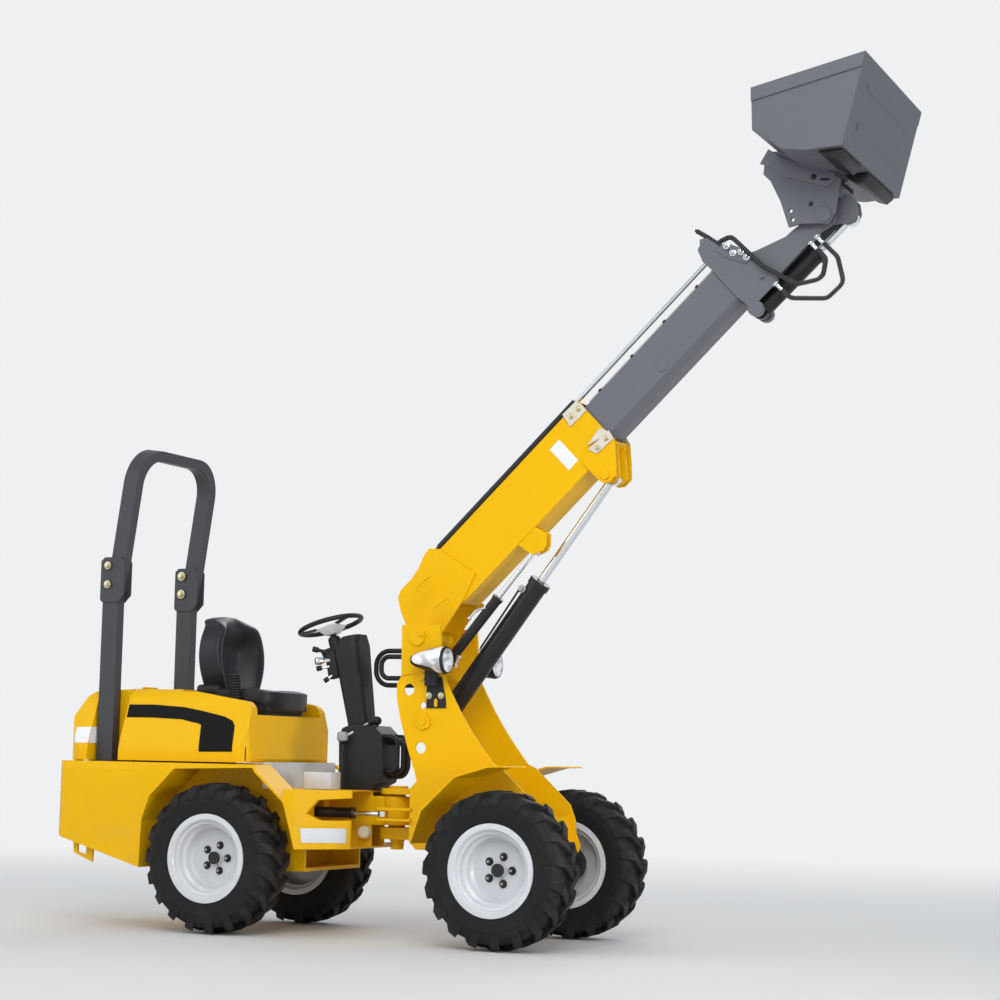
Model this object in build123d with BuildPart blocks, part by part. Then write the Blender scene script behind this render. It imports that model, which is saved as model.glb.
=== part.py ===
from build123d import *
import os
from math import cos, radians, sin

os.makedirs("parts", exist_ok=True)

# Main sizes in millimetres: x forward, y to the machine's left, z up from the ground.
front_axle_x = 386.0
front_reach = 810.0
rear_reach = 810.0
wheelbase = front_reach + rear_reach
tyre_radius = 387.5
tyre_half_width = 132.0
axle_height = tyre_radius
half_track = 459.0
rear_axle_x = front_axle_x - wheelbase
boom_pivot_x = front_axle_x - 600.0
boom_pivot_z = 1540.0
boom_angle = 44.0
fit = 0.05
datum_x = front_axle_x


def side(y=0.0):
    """Side view plane: x ahead of the datum, height above the ground."""
    return Plane(origin=(datum_x, y, 0), x_dir=(1, 0, 0), z_dir=(0, -1, 0))


def boom_plane(y=0.0):
    """Side view plane along the boom: u from the boom pivot, v above its axis."""
    along = (cos(radians(boom_angle)), 0, sin(radians(boom_angle)))
    return Plane(origin=(boom_pivot_x, y, boom_pivot_z), x_dir=along, z_dir=(0, -1, 0))


def plan(z=0.0):
    """Plan view plane at height z: x ahead of the datum, y to the left."""
    return Plane(origin=(datum_x, 0, z))


def slab(plane, outline, depth, mode=Mode.ADD, rounds=()):
    """Extrude a closed outline from its plane by depth.

    rounds: places and radii of the outline's rounded corners.
    """
    with BuildSketch(plane) as face:
        with BuildLine():
            Polyline(*outline, close=True)
        make_face()
        for across_corner, up_corner, radius in rounds:
            corner = (across_corner, up_corner, 0)
            fillet(face.vertices().sort_by_distance(corner)[0], radius)
    extrude(face.sketch, amount=depth, mode=mode)


def across(place, outline, half_width, mode=Mode.ADD, rounds=()):
    """Extrude a side outline over the full width, centred on the machine."""
    slab(place(half_width), outline, 2 * half_width, mode, rounds)


def plate_pair(place, outline, inner, outer, mode=Mode.ADD):
    """Plates of one outline on both sides, from half-width inner to outer."""
    slab(place(outer), outline, outer - inner, mode)
    slab(place(-inner), outline, outer - inner, mode)


def disc(plane, centre, radius, depth, mode=Mode.ADD):
    """Extrude a round disc from its plane by depth."""
    with BuildSketch(plane) as face:
        with Locations(centre):
            Circle(radius)
    extrude(face.sketch, amount=depth, mode=mode)


def disc_pair(place, centre, radius, inner, outer, mode=Mode.ADD):
    """Discs on both sides, from half-width inner to outer."""
    disc(place(outer), centre, radius, outer - inner, mode)
    disc(place(-inner), centre, radius, outer - inner, mode)


def box(x_range, y_range, z_range, mode=Mode.ADD):
    """Block between limits given ahead of the datum, to the left and up."""
    corner = (x_range[0], y_range[0])
    size = (x_range[1] - x_range[0], y_range[1] - y_range[0])
    with BuildSketch(plan(z_range[0])) as face:
        with Locations((corner[0] + size[0] / 2, corner[1] + size[1] / 2)):
            Rectangle(*size)
    extrude(face.sketch, amount=z_range[1] - z_range[0], mode=mode)


def trim_plan(x_low, x_high, half_width, radius, z_range):
    """Keep what lies inside a rounded plan outline."""
    with BuildSketch(plan(z_range[0])) as outline:
        with Locations(((x_low + x_high) / 2, 0)):
            RectangleRounded(x_high - x_low, 2 * half_width, radius)
    extrude(outline.sketch, amount=z_range[1] - z_range[0], mode=Mode.INTERSECT)


def trim_section(outline, x_low, x_high, rounds):
    """Keep what lies inside a cross-section outline, given as width and height."""
    across_plane = Plane(origin=(datum_x + x_low, 0, 0), x_dir=(0, 1, 0),
                         z_dir=(1, 0, 0))
    slab(across_plane, outline, x_high - x_low, Mode.INTERSECT, rounds)


def save(node, part):
    """Name a node and write its STEP file."""
    part.label = node
    export_step(part, f"parts/{node}.step")


def hose(points, bend_radius, radius):
    """Round hose along straight runs joined by arcs."""
    with BuildPart() as tube:
        with BuildLine() as route:
            FilletPolyline(*points, radius=bend_radius)
        with BuildSketch(Plane(origin=route.line @ 0, z_dir=route.line % 0)):
            Circle(radius)
        sweep(path=route.line)
    return tube.part


def ram(base, eye, pin_axis, sizes):
    """Barrel and rod of one hydraulic cylinder between two pins.

    sizes: barrel radius, rod radius, barrel length, rod tail start, eye radius,
    eye width, base pin radius.
    """
    barrel_r, rod_r, barrel_length, rod_start, eye_r, eye_width, pin_r = sizes
    reach = Vector(*eye) - Vector(*base)
    along = reach.normalized()
    length = reach.length
    end_plane = Plane(origin=base, x_dir=pin_axis, z_dir=along)
    pin_plane = Plane(origin=base, x_dir=along, z_dir=pin_axis)
    neck = eye_r * 0.6
    with BuildPart() as barrel:
        with BuildSketch(pin_plane.offset(-eye_width / 2)):
            Circle(eye_r)
        extrude(amount=eye_width)
        with BuildSketch(end_plane.offset(neck)):
            Circle(barrel_r)
        extrude(amount=barrel_length - neck)
        with BuildSketch(end_plane.offset(barrel_length - barrel_r * 0.7)):
            Circle(barrel_r * 1.12)
        extrude(amount=barrel_r * 0.7)
        with BuildSketch(end_plane.offset(eye_r + 4)):
            Circle(rod_r + fit)
        extrude(amount=barrel_length, mode=Mode.SUBTRACT)
        with BuildSketch(pin_plane.offset(-barrel_r * 1.5)):
            Circle(pin_r + fit)
        extrude(amount=barrel_r * 3, mode=Mode.SUBTRACT)
    with BuildPart() as rod:
        with BuildSketch(end_plane.offset(rod_start)):
            Circle(rod_r)
        extrude(amount=length - rod_start)
        with BuildSketch(pin_plane.offset(-eye_width / 2)):
            with Locations((length, 0)):
                Circle(eye_r)
        extrude(amount=eye_width)
    return barrel.part, rod.part


def from_boom(u, v, y=0.0):
    """Machine point of a place given along the boom."""
    a = radians(boom_angle)
    x = boom_pivot_x + u * cos(a) - v * sin(a)
    return (x, y, boom_pivot_z + u * sin(a) + v * cos(a))


# Wheels: rim with its disc, hub and studs, and the tyre with its chevron lugs.
bead_seat_r = 200.0
rim_profile = [
    # across the wheel, radius
    (-121, 228), (-115, 228), (-115, bead_seat_r), (115, bead_seat_r), (115, 228), (121, 228),
    (121, 200), (112, 193), (100, 190), (94, 176), (64, 173), (54, 158), (20, 152), (8, 140),
    (8, 42), (26, 36), (26, 0), (12, 0), (12, 28), (-24, 28), (-24, 60), (-6, 66), (-6, 156),
    (-14, 172), (-96, 176), (-100, 190), (-112, 193), (-121, 200),
]
casing_profile = [
    # across the wheel, radius
    (-115, bead_seat_r + 0.3), (115, bead_seat_r + 0.3), (115, 228.3), (121, 238), (129, 290),
    (126, 326), (112, 346), (84, 358), (-84, 358), (-112, 346), (-126, 326), (-129, 290),
    (-121, 238), (-115, 228.3),
]
lug_plan = [
    # across the wheel, back along the tread
    (tyre_half_width, 64), (75, 40), (-6, -28), (-6, -66), (75, -6), (tyre_half_width, 14),
]
lug_section = [
    # across the wheel, radius
    (-8, 340), (-8, tyre_radius), (88, tyre_radius - 7), (122, 360), (tyre_half_width, 320),
    (tyre_half_width - 2, 304), (118, 304), (100, 330),
]
tread_facets = [
    # along the tread, radius
    (-90, 0), (-90, tyre_radius - 10.6), (-47, tyre_radius - 2.86), (47, tyre_radius - 2.86),
    (90, tyre_radius - 10.6), (90, 0),
]
lug_count = 19
wheel_places = [
    # name, x of the axle, side of the machine
    ("front_left", front_axle_x, 1),
    ("front_right", front_axle_x, -1),
    ("rear_left", rear_axle_x, 1),
    ("rear_right", rear_axle_x, -1),
]
stud_circle_r = 68.0


def lug(hand):
    """One tread lug at the top of a wheel that stands at the origin."""
    tread_plane = Plane(origin=(0, 0, 0), x_dir=(0, hand, 0), z_dir=(0, 0, 1))
    section_plane = Plane(origin=(-hand * 100, 0, 0), x_dir=(0, hand, 0), z_dir=(hand, 0, 0))
    with BuildPart() as block:
        slab(tread_plane, [(w, hand * back) for w, back in lug_plan], tyre_radius + 20)
        slab(section_plane, lug_section, 200, Mode.INTERSECT)
        slab(Plane.XZ.offset(-200), tread_facets, 400, Mode.INTERSECT)
    return block.part


lugs = [lug(1), lug(-1)]
for place_name, axle_x, hand in wheel_places:
    centre = (axle_x, hand * half_track, axle_height)
    wheel_plane = Plane(origin=centre, x_dir=(0, hand, 0), z_dir=(1, 0, 0))
    wheel_axis = Axis(centre, (0, 1, 0))
    hub_face = Plane(origin=(axle_x, hand * (half_track + 8), axle_height),
                     x_dir=(1, 0, 0), z_dir=(0, hand, 0))
    with BuildPart() as rim:
        with BuildSketch(wheel_plane):
            with BuildLine():
                Polyline(*[(w, hand * r) for w, r in rim_profile], close=True)
            make_face()
        revolve(axis=wheel_axis)
        with BuildSketch(hub_face):
            with PolarLocations(stud_circle_r, 5):
                RegularPolygon(10, 6)
        extrude(amount=12)
    save(f"rim_{place_name}", rim.part)
    with BuildPart() as tyre:
        with BuildSketch(wheel_plane):
            with BuildLine():
                Polyline(*[(w, hand * r) for w, r in casing_profile], close=True)
            make_face()
        revolve(axis=wheel_axis)
        for side_lug, start in zip(lugs, (0.0, 0.5)):
            turns = [(start + step) * 360 / lug_count for step in range(lug_count)]
            with Locations(*[Location(centre, (0, turn, 0)) for turn in turns]):
                add(side_lug)
    save(f"tyre_{place_name}", tyre.part)

# Axles: a housing with its final drives and the stub that carries each hub.
stub_r = 27.95
axle_places = [
    # name, x from the front axle, radius of the differential, top of the mounting pad
    ("front_axle", 0.0, 71.0, 459.0),
    ("rear_axle", -wheelbase, 108.0, 505.0),
]
for axle_name, axle_offset, diff_r, pad_top in axle_places:
    centre = (axle_offset, axle_height)
    with BuildPart() as axle:
        disc(side(half_track - 59), centre, 52, 2 * (half_track - 59))
        disc(side(95), centre, diff_r, 190)
        disc_pair(side, centre, 86, half_track - 87, half_track - 34)
        disc_pair(side, centre, stub_r, half_track - 34, half_track + 7)
        box((axle_offset - 60, axle_offset + 60), (-205, 205), (axle_height + 20, pad_top))
    save(axle_name, axle.part)

# Outlines of the rear frame give x ahead of the rear axle.
datum_x = rear_axle_x

# Rear tub: sides, arches, sloping front fender faces and the bay for the engine.
steer_pin_r = 14.0
tub_half = 550.0
tub_skin = 50.0
arch_inner = half_track - tyre_half_width - 27
tub_side = [
    (-970, 872), (-970, 480), (-427, 326), (430, 326), (430, 705), (235, 872),
]
arch_side = [
    (-427, 300), (-420, 570), (-376, 696), (-227, 842), (235, 855), (437, 682),
    (500, 600), (500, 300),
]
bay_side = [(-915, 900), (-915, 480), (-440, 345), (190, 345), (190, 900)]
tail_side = [(-955, 832), (-955, 498), (-455, 360), (-455, 832)]
tail_mouth = [(-925, 900), (-925, 800), (-455, 800), (-455, 900)]
tie_down = [(-880, 475), (-872, 385), (-752, 340), (-746, 440)]
tie_down_hole = [(-848, 432), (-846, 388), (-792, 376), (-792, 420)]
with BuildPart() as rear_tub:
    across(side, tub_side, tub_half)
    chamfer(rear_tub.edges().filter_by(Axis.Z).group_by(Axis.X)[0], 40)
    top_edges = rear_tub.edges().filter_by(Axis.X).group_by(Axis.Z)[-1]
    chamfer(top_edges, 38)
    plate_pair(side, arch_side, arch_inner, tub_half + 20, Mode.SUBTRACT)
    across(side, bay_side, 285, Mode.SUBTRACT)
    across(side, tail_side, tub_half - tub_skin, Mode.SUBTRACT)
    across(side, tail_mouth, tub_half - 130, Mode.SUBTRACT)
    box((185, 520), (-350, 350), (750, 950), Mode.SUBTRACT)
    box((180, 520), (-285, 285), (345, 738), Mode.SUBTRACT)
    box((242, 255), (-286, 286), (340, 745))
    box((-142, 142), (-arch_inner, arch_inner), (326, 517))
    box((-130, 130), (-arch_inner - 1, arch_inner + 1), (300, 505), Mode.SUBTRACT)
    for low, high in ((49 - tub_half, -290), (290, tub_half - 49)):
        box((-845, -715), (low, high), (760, 800))
    plate_pair(side, tie_down, tub_half - 58, tub_half - 46)
    plate_pair(side, tie_down_hole, tub_half - 65, tub_half - 40, Mode.SUBTRACT)
    for low, high in ((600, 612), (653, 665)):
        box((254, 324), (-225, -155), (low, high))
    disc(plan(595), (310, -190), steer_pin_r, 75)
save("rear_tub", rear_tub.part)

# Neck between the tub and the pivot, open in front for the steering cylinder.
neck_half = tub_half - 2
neck_front = rear_reach - 115
neck_outer = [
    (430, -neck_half), (502, -neck_half), (neck_front, -300), (neck_front, 300),
    (502, neck_half), (430, neck_half),
]
neck_inner = [
    (425, 28 - neck_half), (496, 16 - neck_half), (neck_front - 15, -292),
    (neck_front + 25, -285), (neck_front + 25, 285), (neck_front - 15, 292),
    (496, neck_half - 16), (425, neck_half - 28),
]
hub_z = (572.0, 720.0)
pin_r = 40.0
steer_base = (rear_axle_x + 310, -190, 632.5)
steer_eye = (front_axle_x - front_reach + 20, -200, 632.5)
with BuildPart() as rear_neck:
    slab(plan(450), neck_outer, 300)
    slab(plan(460), neck_inner, 280, Mode.SUBTRACT)
    plate_pair(side, [(420, 700), (437, 677), (504, 458), (504, 440), (420, 440)],
               arch_inner, tub_half + 10, Mode.SUBTRACT)
    plate_pair(side, [(540, 631), (580, 700), (neck_front + 25, 712), (neck_front + 25, 596),
                      (590, 596)], arch_inner - 15, tub_half + 10, Mode.SUBTRACT)
    box((neck_front - 15, neck_front + 25), (-282, -110), (560, 745), Mode.SUBTRACT)
    box((430, rear_reach - 40), (-75, 75), (hub_z[0], hub_z[1]))
    disc(plan(hub_z[0]), (rear_reach, 0), 78, hub_z[1] - hub_z[0])
    disc(plan(400), (rear_reach, 0), pin_r + fit, 400, Mode.SUBTRACT)
    box((430, 441), (-285, 285), (458, 742))
    for web_y in (-75, 63):
        box((435, neck_front), (web_y, web_y + 12), (458, 742))
    box((429, 442), (-235, -135), (580, 690), Mode.SUBTRACT)
save("rear_neck", rear_neck.part)

# Engine, radiator and pumps as one block on the tub's floor.
with BuildPart() as engine_block:
    box((-820, -340), (-240, 240), (470, 930))
    across(side, [(-780, 475), (-780, 441.8), (-440, 345.1), (-380, 345), (-380, 475)],
           120)
save("engine_block", engine_block.part)

# Silver box under the hood's front, on the deck.
with BuildPart() as step_box:
    box((190, 235), (-345, 345), (750, 885))
save("step_box", step_box.part)

# Rear cowl: rounded tail with the outlet grille, notched for the hoop posts.
cowl_side = [(-995, 877), (-990, 1085), (-900, 1250), (-655, 1262), (-655, 877)]
cowl_rounds = [(-990, 1085, 160), (-900, 1250, 90)]
cowl_inner = [
    (-980, 860), (-975, 1066), (-940, 1160), (-878, 1222), (-810, 1238), (-650, 1247),
    (-650, 860),
]
hood_half = tub_half - 90
hood_top_half = hood_half - 112
corner_margin = 0.5
hood_section = [
    (-hood_half, 860), (-hood_half, 950), (-hood_top_half, 1270), (hood_top_half, 1270),
    (hood_half, 950), (hood_half, 860),
]
section_rounds = [
    # across, height, radius
    (-hood_half, 950, 150), (hood_half, 950, 150),
    (-hood_top_half, 1270, 110), (hood_top_half, 1270, 110),
]
hood_hinge = (-650.0, 1270.0)
grille_z = [930 + 30 * row for row in range(6)]
with BuildPart() as rear_cowl:
    across(side, cowl_side, hood_half, rounds=cowl_rounds)
    trim_plan(-995, -480, hood_half + corner_margin, 120, (860, 1300))
    trim_section(hood_section, -1080, -580, section_rounds)
    plate_pair(side, [(-845, 860), (-845, 1300), (-650, 1300), (-650, 860)], 322, 470,
               Mode.SUBTRACT)
    across(side, cowl_inner, 308, Mode.SUBTRACT)
    for z in grille_z:
        box((-1020, -960), (-260, 260), (z, z + 16), Mode.SUBTRACT)
    for foot_x, foot_y in ((-981, -250), (-981, 210), (-940, -441), (-940, 425)):
        box((foot_x, foot_x + 50), (foot_y, foot_y + 16), (872, 890))
    for low, high in ((-235, -195), (-145, -105), (105, 145), (195, 235)):
        box((-685, -654), (low, high), (1260, 1266))
        disc(side(high), hood_hinge, 7, high - low)
    for low in (-235, 105):
        disc(side(low + 130), hood_hinge, 3.5, 130)
save("rear_cowl", rear_cowl.part)

# Seat hood: tapered and rounded shell with the recess for the seat.
hood_side = [
    (-645, 880), (-645, 1262), (-310, 1262), (70, 1203), (132, 1194), (150, 900), (144, 880),
]
hood_rounds = [(-310, 1262, 600), (132, 1194, 55), (144, 880, 12)]
with BuildPart() as seat_hood:
    across(side, hood_side, hood_half, rounds=hood_rounds)
    trim_plan(-980, 150, hood_half, 75, (860, 1300))
    trim_section(hood_section, -680, 220, section_rounds)
    box((-340, 220), (-330, 330), (1130, 1300), Mode.SUBTRACT)
    box((-650, 134), (-435, 435), (870, 960), Mode.SUBTRACT)
    box((-650, 134), (-380, 380), (950, 1116), Mode.SUBTRACT)
    box((-630, -355), (-300, 300), (1100, 1240), Mode.SUBTRACT)
    for low in (-190, 150):
        box((-646, -615), (low, low + 40), (1260, 1266))
        disc(side(low + 40), hood_hinge, 7, 40)
        disc(side(low + 40), hood_hinge, 3.5 + fit, 40, Mode.SUBTRACT)
save("seat_hood", seat_hood.part)

# Seat: cushion and a back with side bolsters, and its base.
seat_half = 235.0
seat_low = 1185.0
cushion_side = [(-330, seat_low), (-330, 1262), (-180, 1276), (120, 1272), (152, 1240), (150, seat_low)]
back_section = [
    # across the seat, backwards
    (-seat_half, 20), (-seat_half, -60), (-205, -92), (-165, -78), (-140, -22), (140, -22),
    (165, -78), (205, -92), (seat_half, -60), (seat_half, 20), (170, 44), (-170, 44),
]
back_lean = radians(3.0)
back_height = 470.0
back_foot = Plane(origin=(rear_axle_x - 262, 0, seat_low + 20), x_dir=(0, 1, 0),
                  z_dir=(-sin(back_lean), 0, cos(back_lean)))
back_face = Plane(origin=back_foot.from_local_coords((0, 0, back_height / 2)),
                  x_dir=(0, 1, 0), z_dir=(cos(back_lean), 0, sin(back_lean)))
with BuildPart() as seat:
    slab(back_foot, back_section, back_height)
    with BuildSketch(back_face) as outline:
        RectangleRounded(2 * seat_half, back_height, 150)
        Rectangle(2 * seat_half - 120, back_height / 2, align=(Align.CENTER, Align.MAX))
    extrude(outline.sketch, amount=150, both=True, mode=Mode.INTERSECT)
    with BuildPart(mode=Mode.PRIVATE) as cushion:
        across(side, cushion_side, seat_half, rounds=[(152, 1240, 25), (120, 1272, 40)])
        trim_plan(-480, 152, seat_half, 90, (seat_low - 5, 1300))
    add(cushion.part)
save("seat", seat.part)
with BuildPart() as seat_base:
    box((-260, 100), (-190, 190), (1130, 1160))
    box((-280, 120), (-210, 210), (1160, 1185))
save("seat_base", seat_base.part)

# Console, steering column and wheel.
wheel_centre = Vector(rear_axle_x + 375, 0, 1620)
column_foot = Vector(rear_axle_x + 560, 0, 1040)
column_dir = (wheel_centre - column_foot).normalized()
column_plane = Plane(origin=column_foot, x_dir=(0, 1, 0), z_dir=column_dir)
column_length = (wheel_centre - column_foot).length
shaft_length = 149.0
shaft_r = 17.0
console_side = [
    (506, 750), (498, 1008), (514, 1071), (574, 1093), (705, 1084), (754, 1038), (765, 856),
    (745, 790), (712, 774), (700, 750),
]
joint_hose_r = 12.0
joint_hoses = [
    # side, height of the upper end, reach ahead of the rear axle, height of the lower end
    (-62, 1030, 832, 850),
    (-31, 1014, 848, 836),
    (0, 998, 858, 822),
    (31, 1014, 848, 836),
    (62, 1030, 832, 850),
]
cowl_sections = [
    # middle ahead of the rear axle, height, depth, width, corner radius
    (588, 1060, 116, 130, 30),
    (508, 1500, 150, 200, 45),
    (520, 1560, 110, 150, 45),
]
with BuildPart() as console:
    for middle, height, depth, width, corner_r in cowl_sections:
        with BuildSketch(Plane(origin=(rear_axle_x + middle, 0, height), x_dir=(1, 0, 0),
                               z_dir=(-0.18, 0, 0.984))):
            RectangleRounded(depth, width, corner_r)
    loft(ruled=True)
    across(side, console_side, 95, rounds=[(514, 1071, 25), (754, 1038, 35), (498, 1008, 10)])
    for lane, high, reach, low in joint_hoses:
        route = [(700, lane, high), (reach, lane, high), (reach, lane, low), (700, lane, low)]
        add(hose([(rear_axle_x + x, y, z) for x, y, z in route], 46, joint_hose_r))
    with BuildSketch(column_plane.offset(column_length - shaft_length - fit)):
        Circle(shaft_r + fit)
    extrude(amount=shaft_length, mode=Mode.SUBTRACT)
save("console", console.part)
wheel_plane = Plane(origin=wheel_centre, x_dir=(0, 1, 0), z_dir=column_dir)
rim_centre = wheel_plane.from_local_coords((168, 0, 0))
with BuildPart() as steering_wheel:
    with BuildSketch(Plane(origin=rim_centre, x_dir=(0, 1, 0), z_dir=wheel_plane.y_dir)):
        Circle(13)
    revolve(axis=Axis(wheel_centre, column_dir))
    with BuildSketch(wheel_plane.offset(-30)):
        Circle(38)
    extrude(amount=30)
    with BuildSketch(wheel_plane.offset(-12)):
        with PolarLocations(95, 3):
            Rectangle(150, 26)
    extrude(amount=10)
    with BuildSketch(wheel_plane.offset(-shaft_length)):
        Circle(shaft_r)
    extrude(amount=shaft_length - 28)
save("steering_wheel", steering_wheel.part)
with BuildPart() as control_levers:
    for lever_x, lever_y, low, top in ((536, -122, 750, 1010), (694, -40, 1086, 1112)):
        disc(plan(low), (lever_x, lever_y), 9, top - low)
        with BuildSketch(side(lever_y)) as knob:
            with Locations((lever_x, top)):
                Circle(24)
                Rectangle(100, 100, align=(Align.MAX, Align.CENTER), mode=Mode.SUBTRACT)
        knob_axis = Axis((rear_axle_x + lever_x, lever_y, 0), (0, 0, 1))
        revolve(knob.sketch, axis=knob_axis)
save("control_levers", control_levers.part)

# Roll hoop: lower posts with their clevises, and the upper hoop that folds back.
hoop_y = 363.5
hoop_hinge = (-793.0, 1929.0)
with BuildPart() as hoop_posts:
    for hand in (1, -1):
        box((-830, -730), (hand * hoop_y - 30, hand * hoop_y + 30), (800, 1780))
        for plate_y in (-38, 30):
            slab(side(hand * hoop_y + plate_y + 8),
                 [(-843, 1745), (-843, 1955), (-820, 1975), (-720, 1975), (-692, 1950),
                  (-692, 1770), (-730, 1730), (-830, 1730)], 8)
        disc(side(hand * hoop_y + 48), hoop_hinge, 15, 96)
        disc(side(hand * hoop_y + 46), (-793, 1826), 13, 8)
        disc(side(hand * hoop_y - 38), (-793, 1826), 13, 8)
save("hoop_posts", hoop_posts.part)
lean = radians(8.0)
hoop_plane = Plane(origin=(rear_axle_x - 762, 0, 1790), x_dir=(0, 1, 0),
                   z_dir=(cos(lean), 0, -sin(lean)))
hoop_height = 802.0
hoop_wall = 58.0
hoop_bend = 210.0
hoop_outer = hoop_y + hoop_wall / 2
with BuildPart() as hoop_upper:
    with BuildSketch(hoop_plane.offset(-45)):
        with Locations((0, hoop_height / 2)):
            RectangleRounded(2 * hoop_outer, hoop_height, hoop_bend)
        with Locations((0, 0)):
            Rectangle(2 * hoop_outer, 220, align=(Align.CENTER, Align.MIN))
        with Locations((0, (hoop_height - hoop_wall) / 2)):
            RectangleRounded(2 * (hoop_outer - hoop_wall), hoop_height - hoop_wall,
                             hoop_bend - hoop_wall,
                             mode=Mode.SUBTRACT)
        with Locations((0, -1)):
            Rectangle(2 * (hoop_outer - hoop_wall), 220, align=(Align.CENTER, Align.MIN),
                      mode=Mode.SUBTRACT)
    extrude(amount=90)
    disc(side(500), hoop_hinge, 15 + fit, 1000, Mode.SUBTRACT)
save("hoop_upper", hoop_upper.part)

# Outlines of the front frame give x ahead of the front axle.
datum_x = front_axle_x

# Front frame: mast plates, cross plates, pivot lugs, fenders and lamp brackets.
mast_outer = 220.0
mast_inner = 208.0
mast_side = [
    (-695, 1604), (-692, 1346), (-720, 1300), (-717, 1217), (-691, 1105), (-646, 962),
    (-609, 861), (-592, 806), (-630, 765), (-630, 500), (-590, 459), (129, 459),
    (139, 495), (116, 545), (109, 621), (80, 697), (17, 757), (-120, 883), (-163, 900),
    (-238, 994), (-296, 1074), (-354, 1164), (-414, 1270), (-462, 1362), (-475, 1604),
]
doubler_side = [
    (-695, 1604), (-692, 1346), (-462, 1362), (-475, 1604),
]
fender_arc = [
    # x, height of the outer face, from the rear foot to the front
    (-483, 508), (-427, 672), (-248, 838), (-64, 891), (17, 893),
]
fender_back = [(x + 6, z - 8) for x, z in reversed(fender_arc)]
mast_holes = [
    # x, height, radius
    (-649, 1272, 30), (-567, 1190, 18), (-575, 974, 30),
]
lift_base = (-560.0, 1110.0)
comp_base = (-570.0, 1340.0)
boom_pin_r = 30.0
ram_pin_r = 20.0
with BuildPart() as front_frame:
    plate_pair(side, mast_side, mast_inner, mast_outer)
    plate_pair(side, doubler_side, mast_outer, mast_outer + 8)
    box((-630, -616), (-mast_inner, mast_inner), (500, 765))
    box((-600, 120), (-mast_inner, mast_inner), (459, 473))
    box((60, 74), (-mast_inner, mast_inner), (473, 640))
    for low, high in ((500, 560), (732, 762)):
        box((-810, -616), (-90, 90), (low, high))
        disc(plan(low), (-810, 0), 90, high - low)
    disc(plan(490), (-810, 0), pin_r, 300, Mode.SUBTRACT)
    for low, high in ((598, 612), (653, 667)):
        box((-790, -616), (-238, -162), (low, high))
        disc(plan(low), (-790, -200), 38, high - low)
    for low, high in ((612, 615), (650, 653)):
        disc(plan(low), (-790, -200), 20, high - low)
    plate_pair(side, fender_arc + fender_back, mast_outer, 500)
    for hole_x, hole_z, hole_r in mast_holes:
        disc(side(260), (hole_x, hole_z), hole_r, 520, Mode.SUBTRACT)
    disc_pair(side, lift_base, 42, mast_outer, mast_outer + 14)
    for centre, radius in (((-600, 1540), boom_pin_r), (lift_base, ram_pin_r),
                           (comp_base, ram_pin_r)):
        disc(side(260), centre, radius, 520, Mode.SUBTRACT)
save("front_frame", front_frame.part)

# Pivot pin between the frames, and the mast's pins for the boom and two cylinders.
with BuildPart() as frame_pins:
    disc(plan(490), (-810, 0), pin_r, 284)
    disc(plan(762), (-810, 0), 52, 12)
    disc(plan(446), (-810, 0), 34, 44)
    disc(side(240), (-600, 1540), boom_pin_r, 480)
    disc(side(240), lift_base, ram_pin_r, 480)
    disc(side(240), comp_base, ram_pin_r, 480)
    disc_pair(side, (-600, 1540), 42, 228, 240)
save("frame_pins", frame_pins.part)

# Work lamps on brackets beside the mast: drop-shaped, the outer side and front clear.
lamp_y = 300.0
lamp_z = 1419.0
lamp_shape = [
    # ahead of the front axle, radius
    (-602, 0), (-596, 20), (-575, 34), (-520, 50), (-455, 66), (-405, 72), (-390, 66),
    (-390, 0),
]
lens_window = [
    (-592, 1420), (-575, 1444), (-545, 1461), (-404, 1489), (-404, 1352), (-425, 1348),
    (-464, 1380), (-560, 1400),
]
lens_inner = lamp_y + 12
lens_outer = lamp_y + 90
lamp_bracket = [(-543, 1336), (-461, 1336), (-435, 1219), (-434, 1178), (-543, 1177)]


def lamp_drop(hand, window_mode):
    """Drop shape of a lamp, with its lens window cut out or kept."""
    lamp_plane = Plane(origin=(front_axle_x, hand * lamp_y, lamp_z), x_dir=(1, 0, 0),
                       z_dir=(0, -1, 0))
    face_plane = Plane(origin=(front_axle_x - 404, hand * lamp_y, lamp_z), x_dir=(0, 1, 0),
                       z_dir=(1, 0, 0))
    with BuildPart() as window:
        slab(side(lens_outer if hand > 0 else -lens_inner), lens_window,
             lens_outer - lens_inner)
        with BuildSketch(face_plane):
            Circle(60)
        extrude(amount=20)
    with BuildPart() as drop:
        with BuildSketch(lamp_plane):
            with BuildLine():
                Polyline(*lamp_shape, close=True)
            make_face()
        revolve(axis=Axis((front_axle_x, hand * lamp_y, lamp_z), (1, 0, 0)))
        add(window.part, mode=window_mode)
    return drop.part


with BuildPart() as lamp_housings:
    for hand in (1, -1):
        add(lamp_drop(hand, Mode.SUBTRACT))
    plate_pair(side, lamp_bracket, mast_outer, mast_outer + 8)
    for low, high in ((mast_outer + 8, 262), (-262, -mast_outer - 8)):
        box((-540, -475), (low, high), (1290, 1400))
save("lamp_housings", lamp_housings.part)
with BuildPart() as lamp_lenses:
    for hand in (1, -1):
        add(lamp_drop(hand, Mode.INTERSECT))
save("lamp_lenses", lamp_lenses.part)

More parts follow.
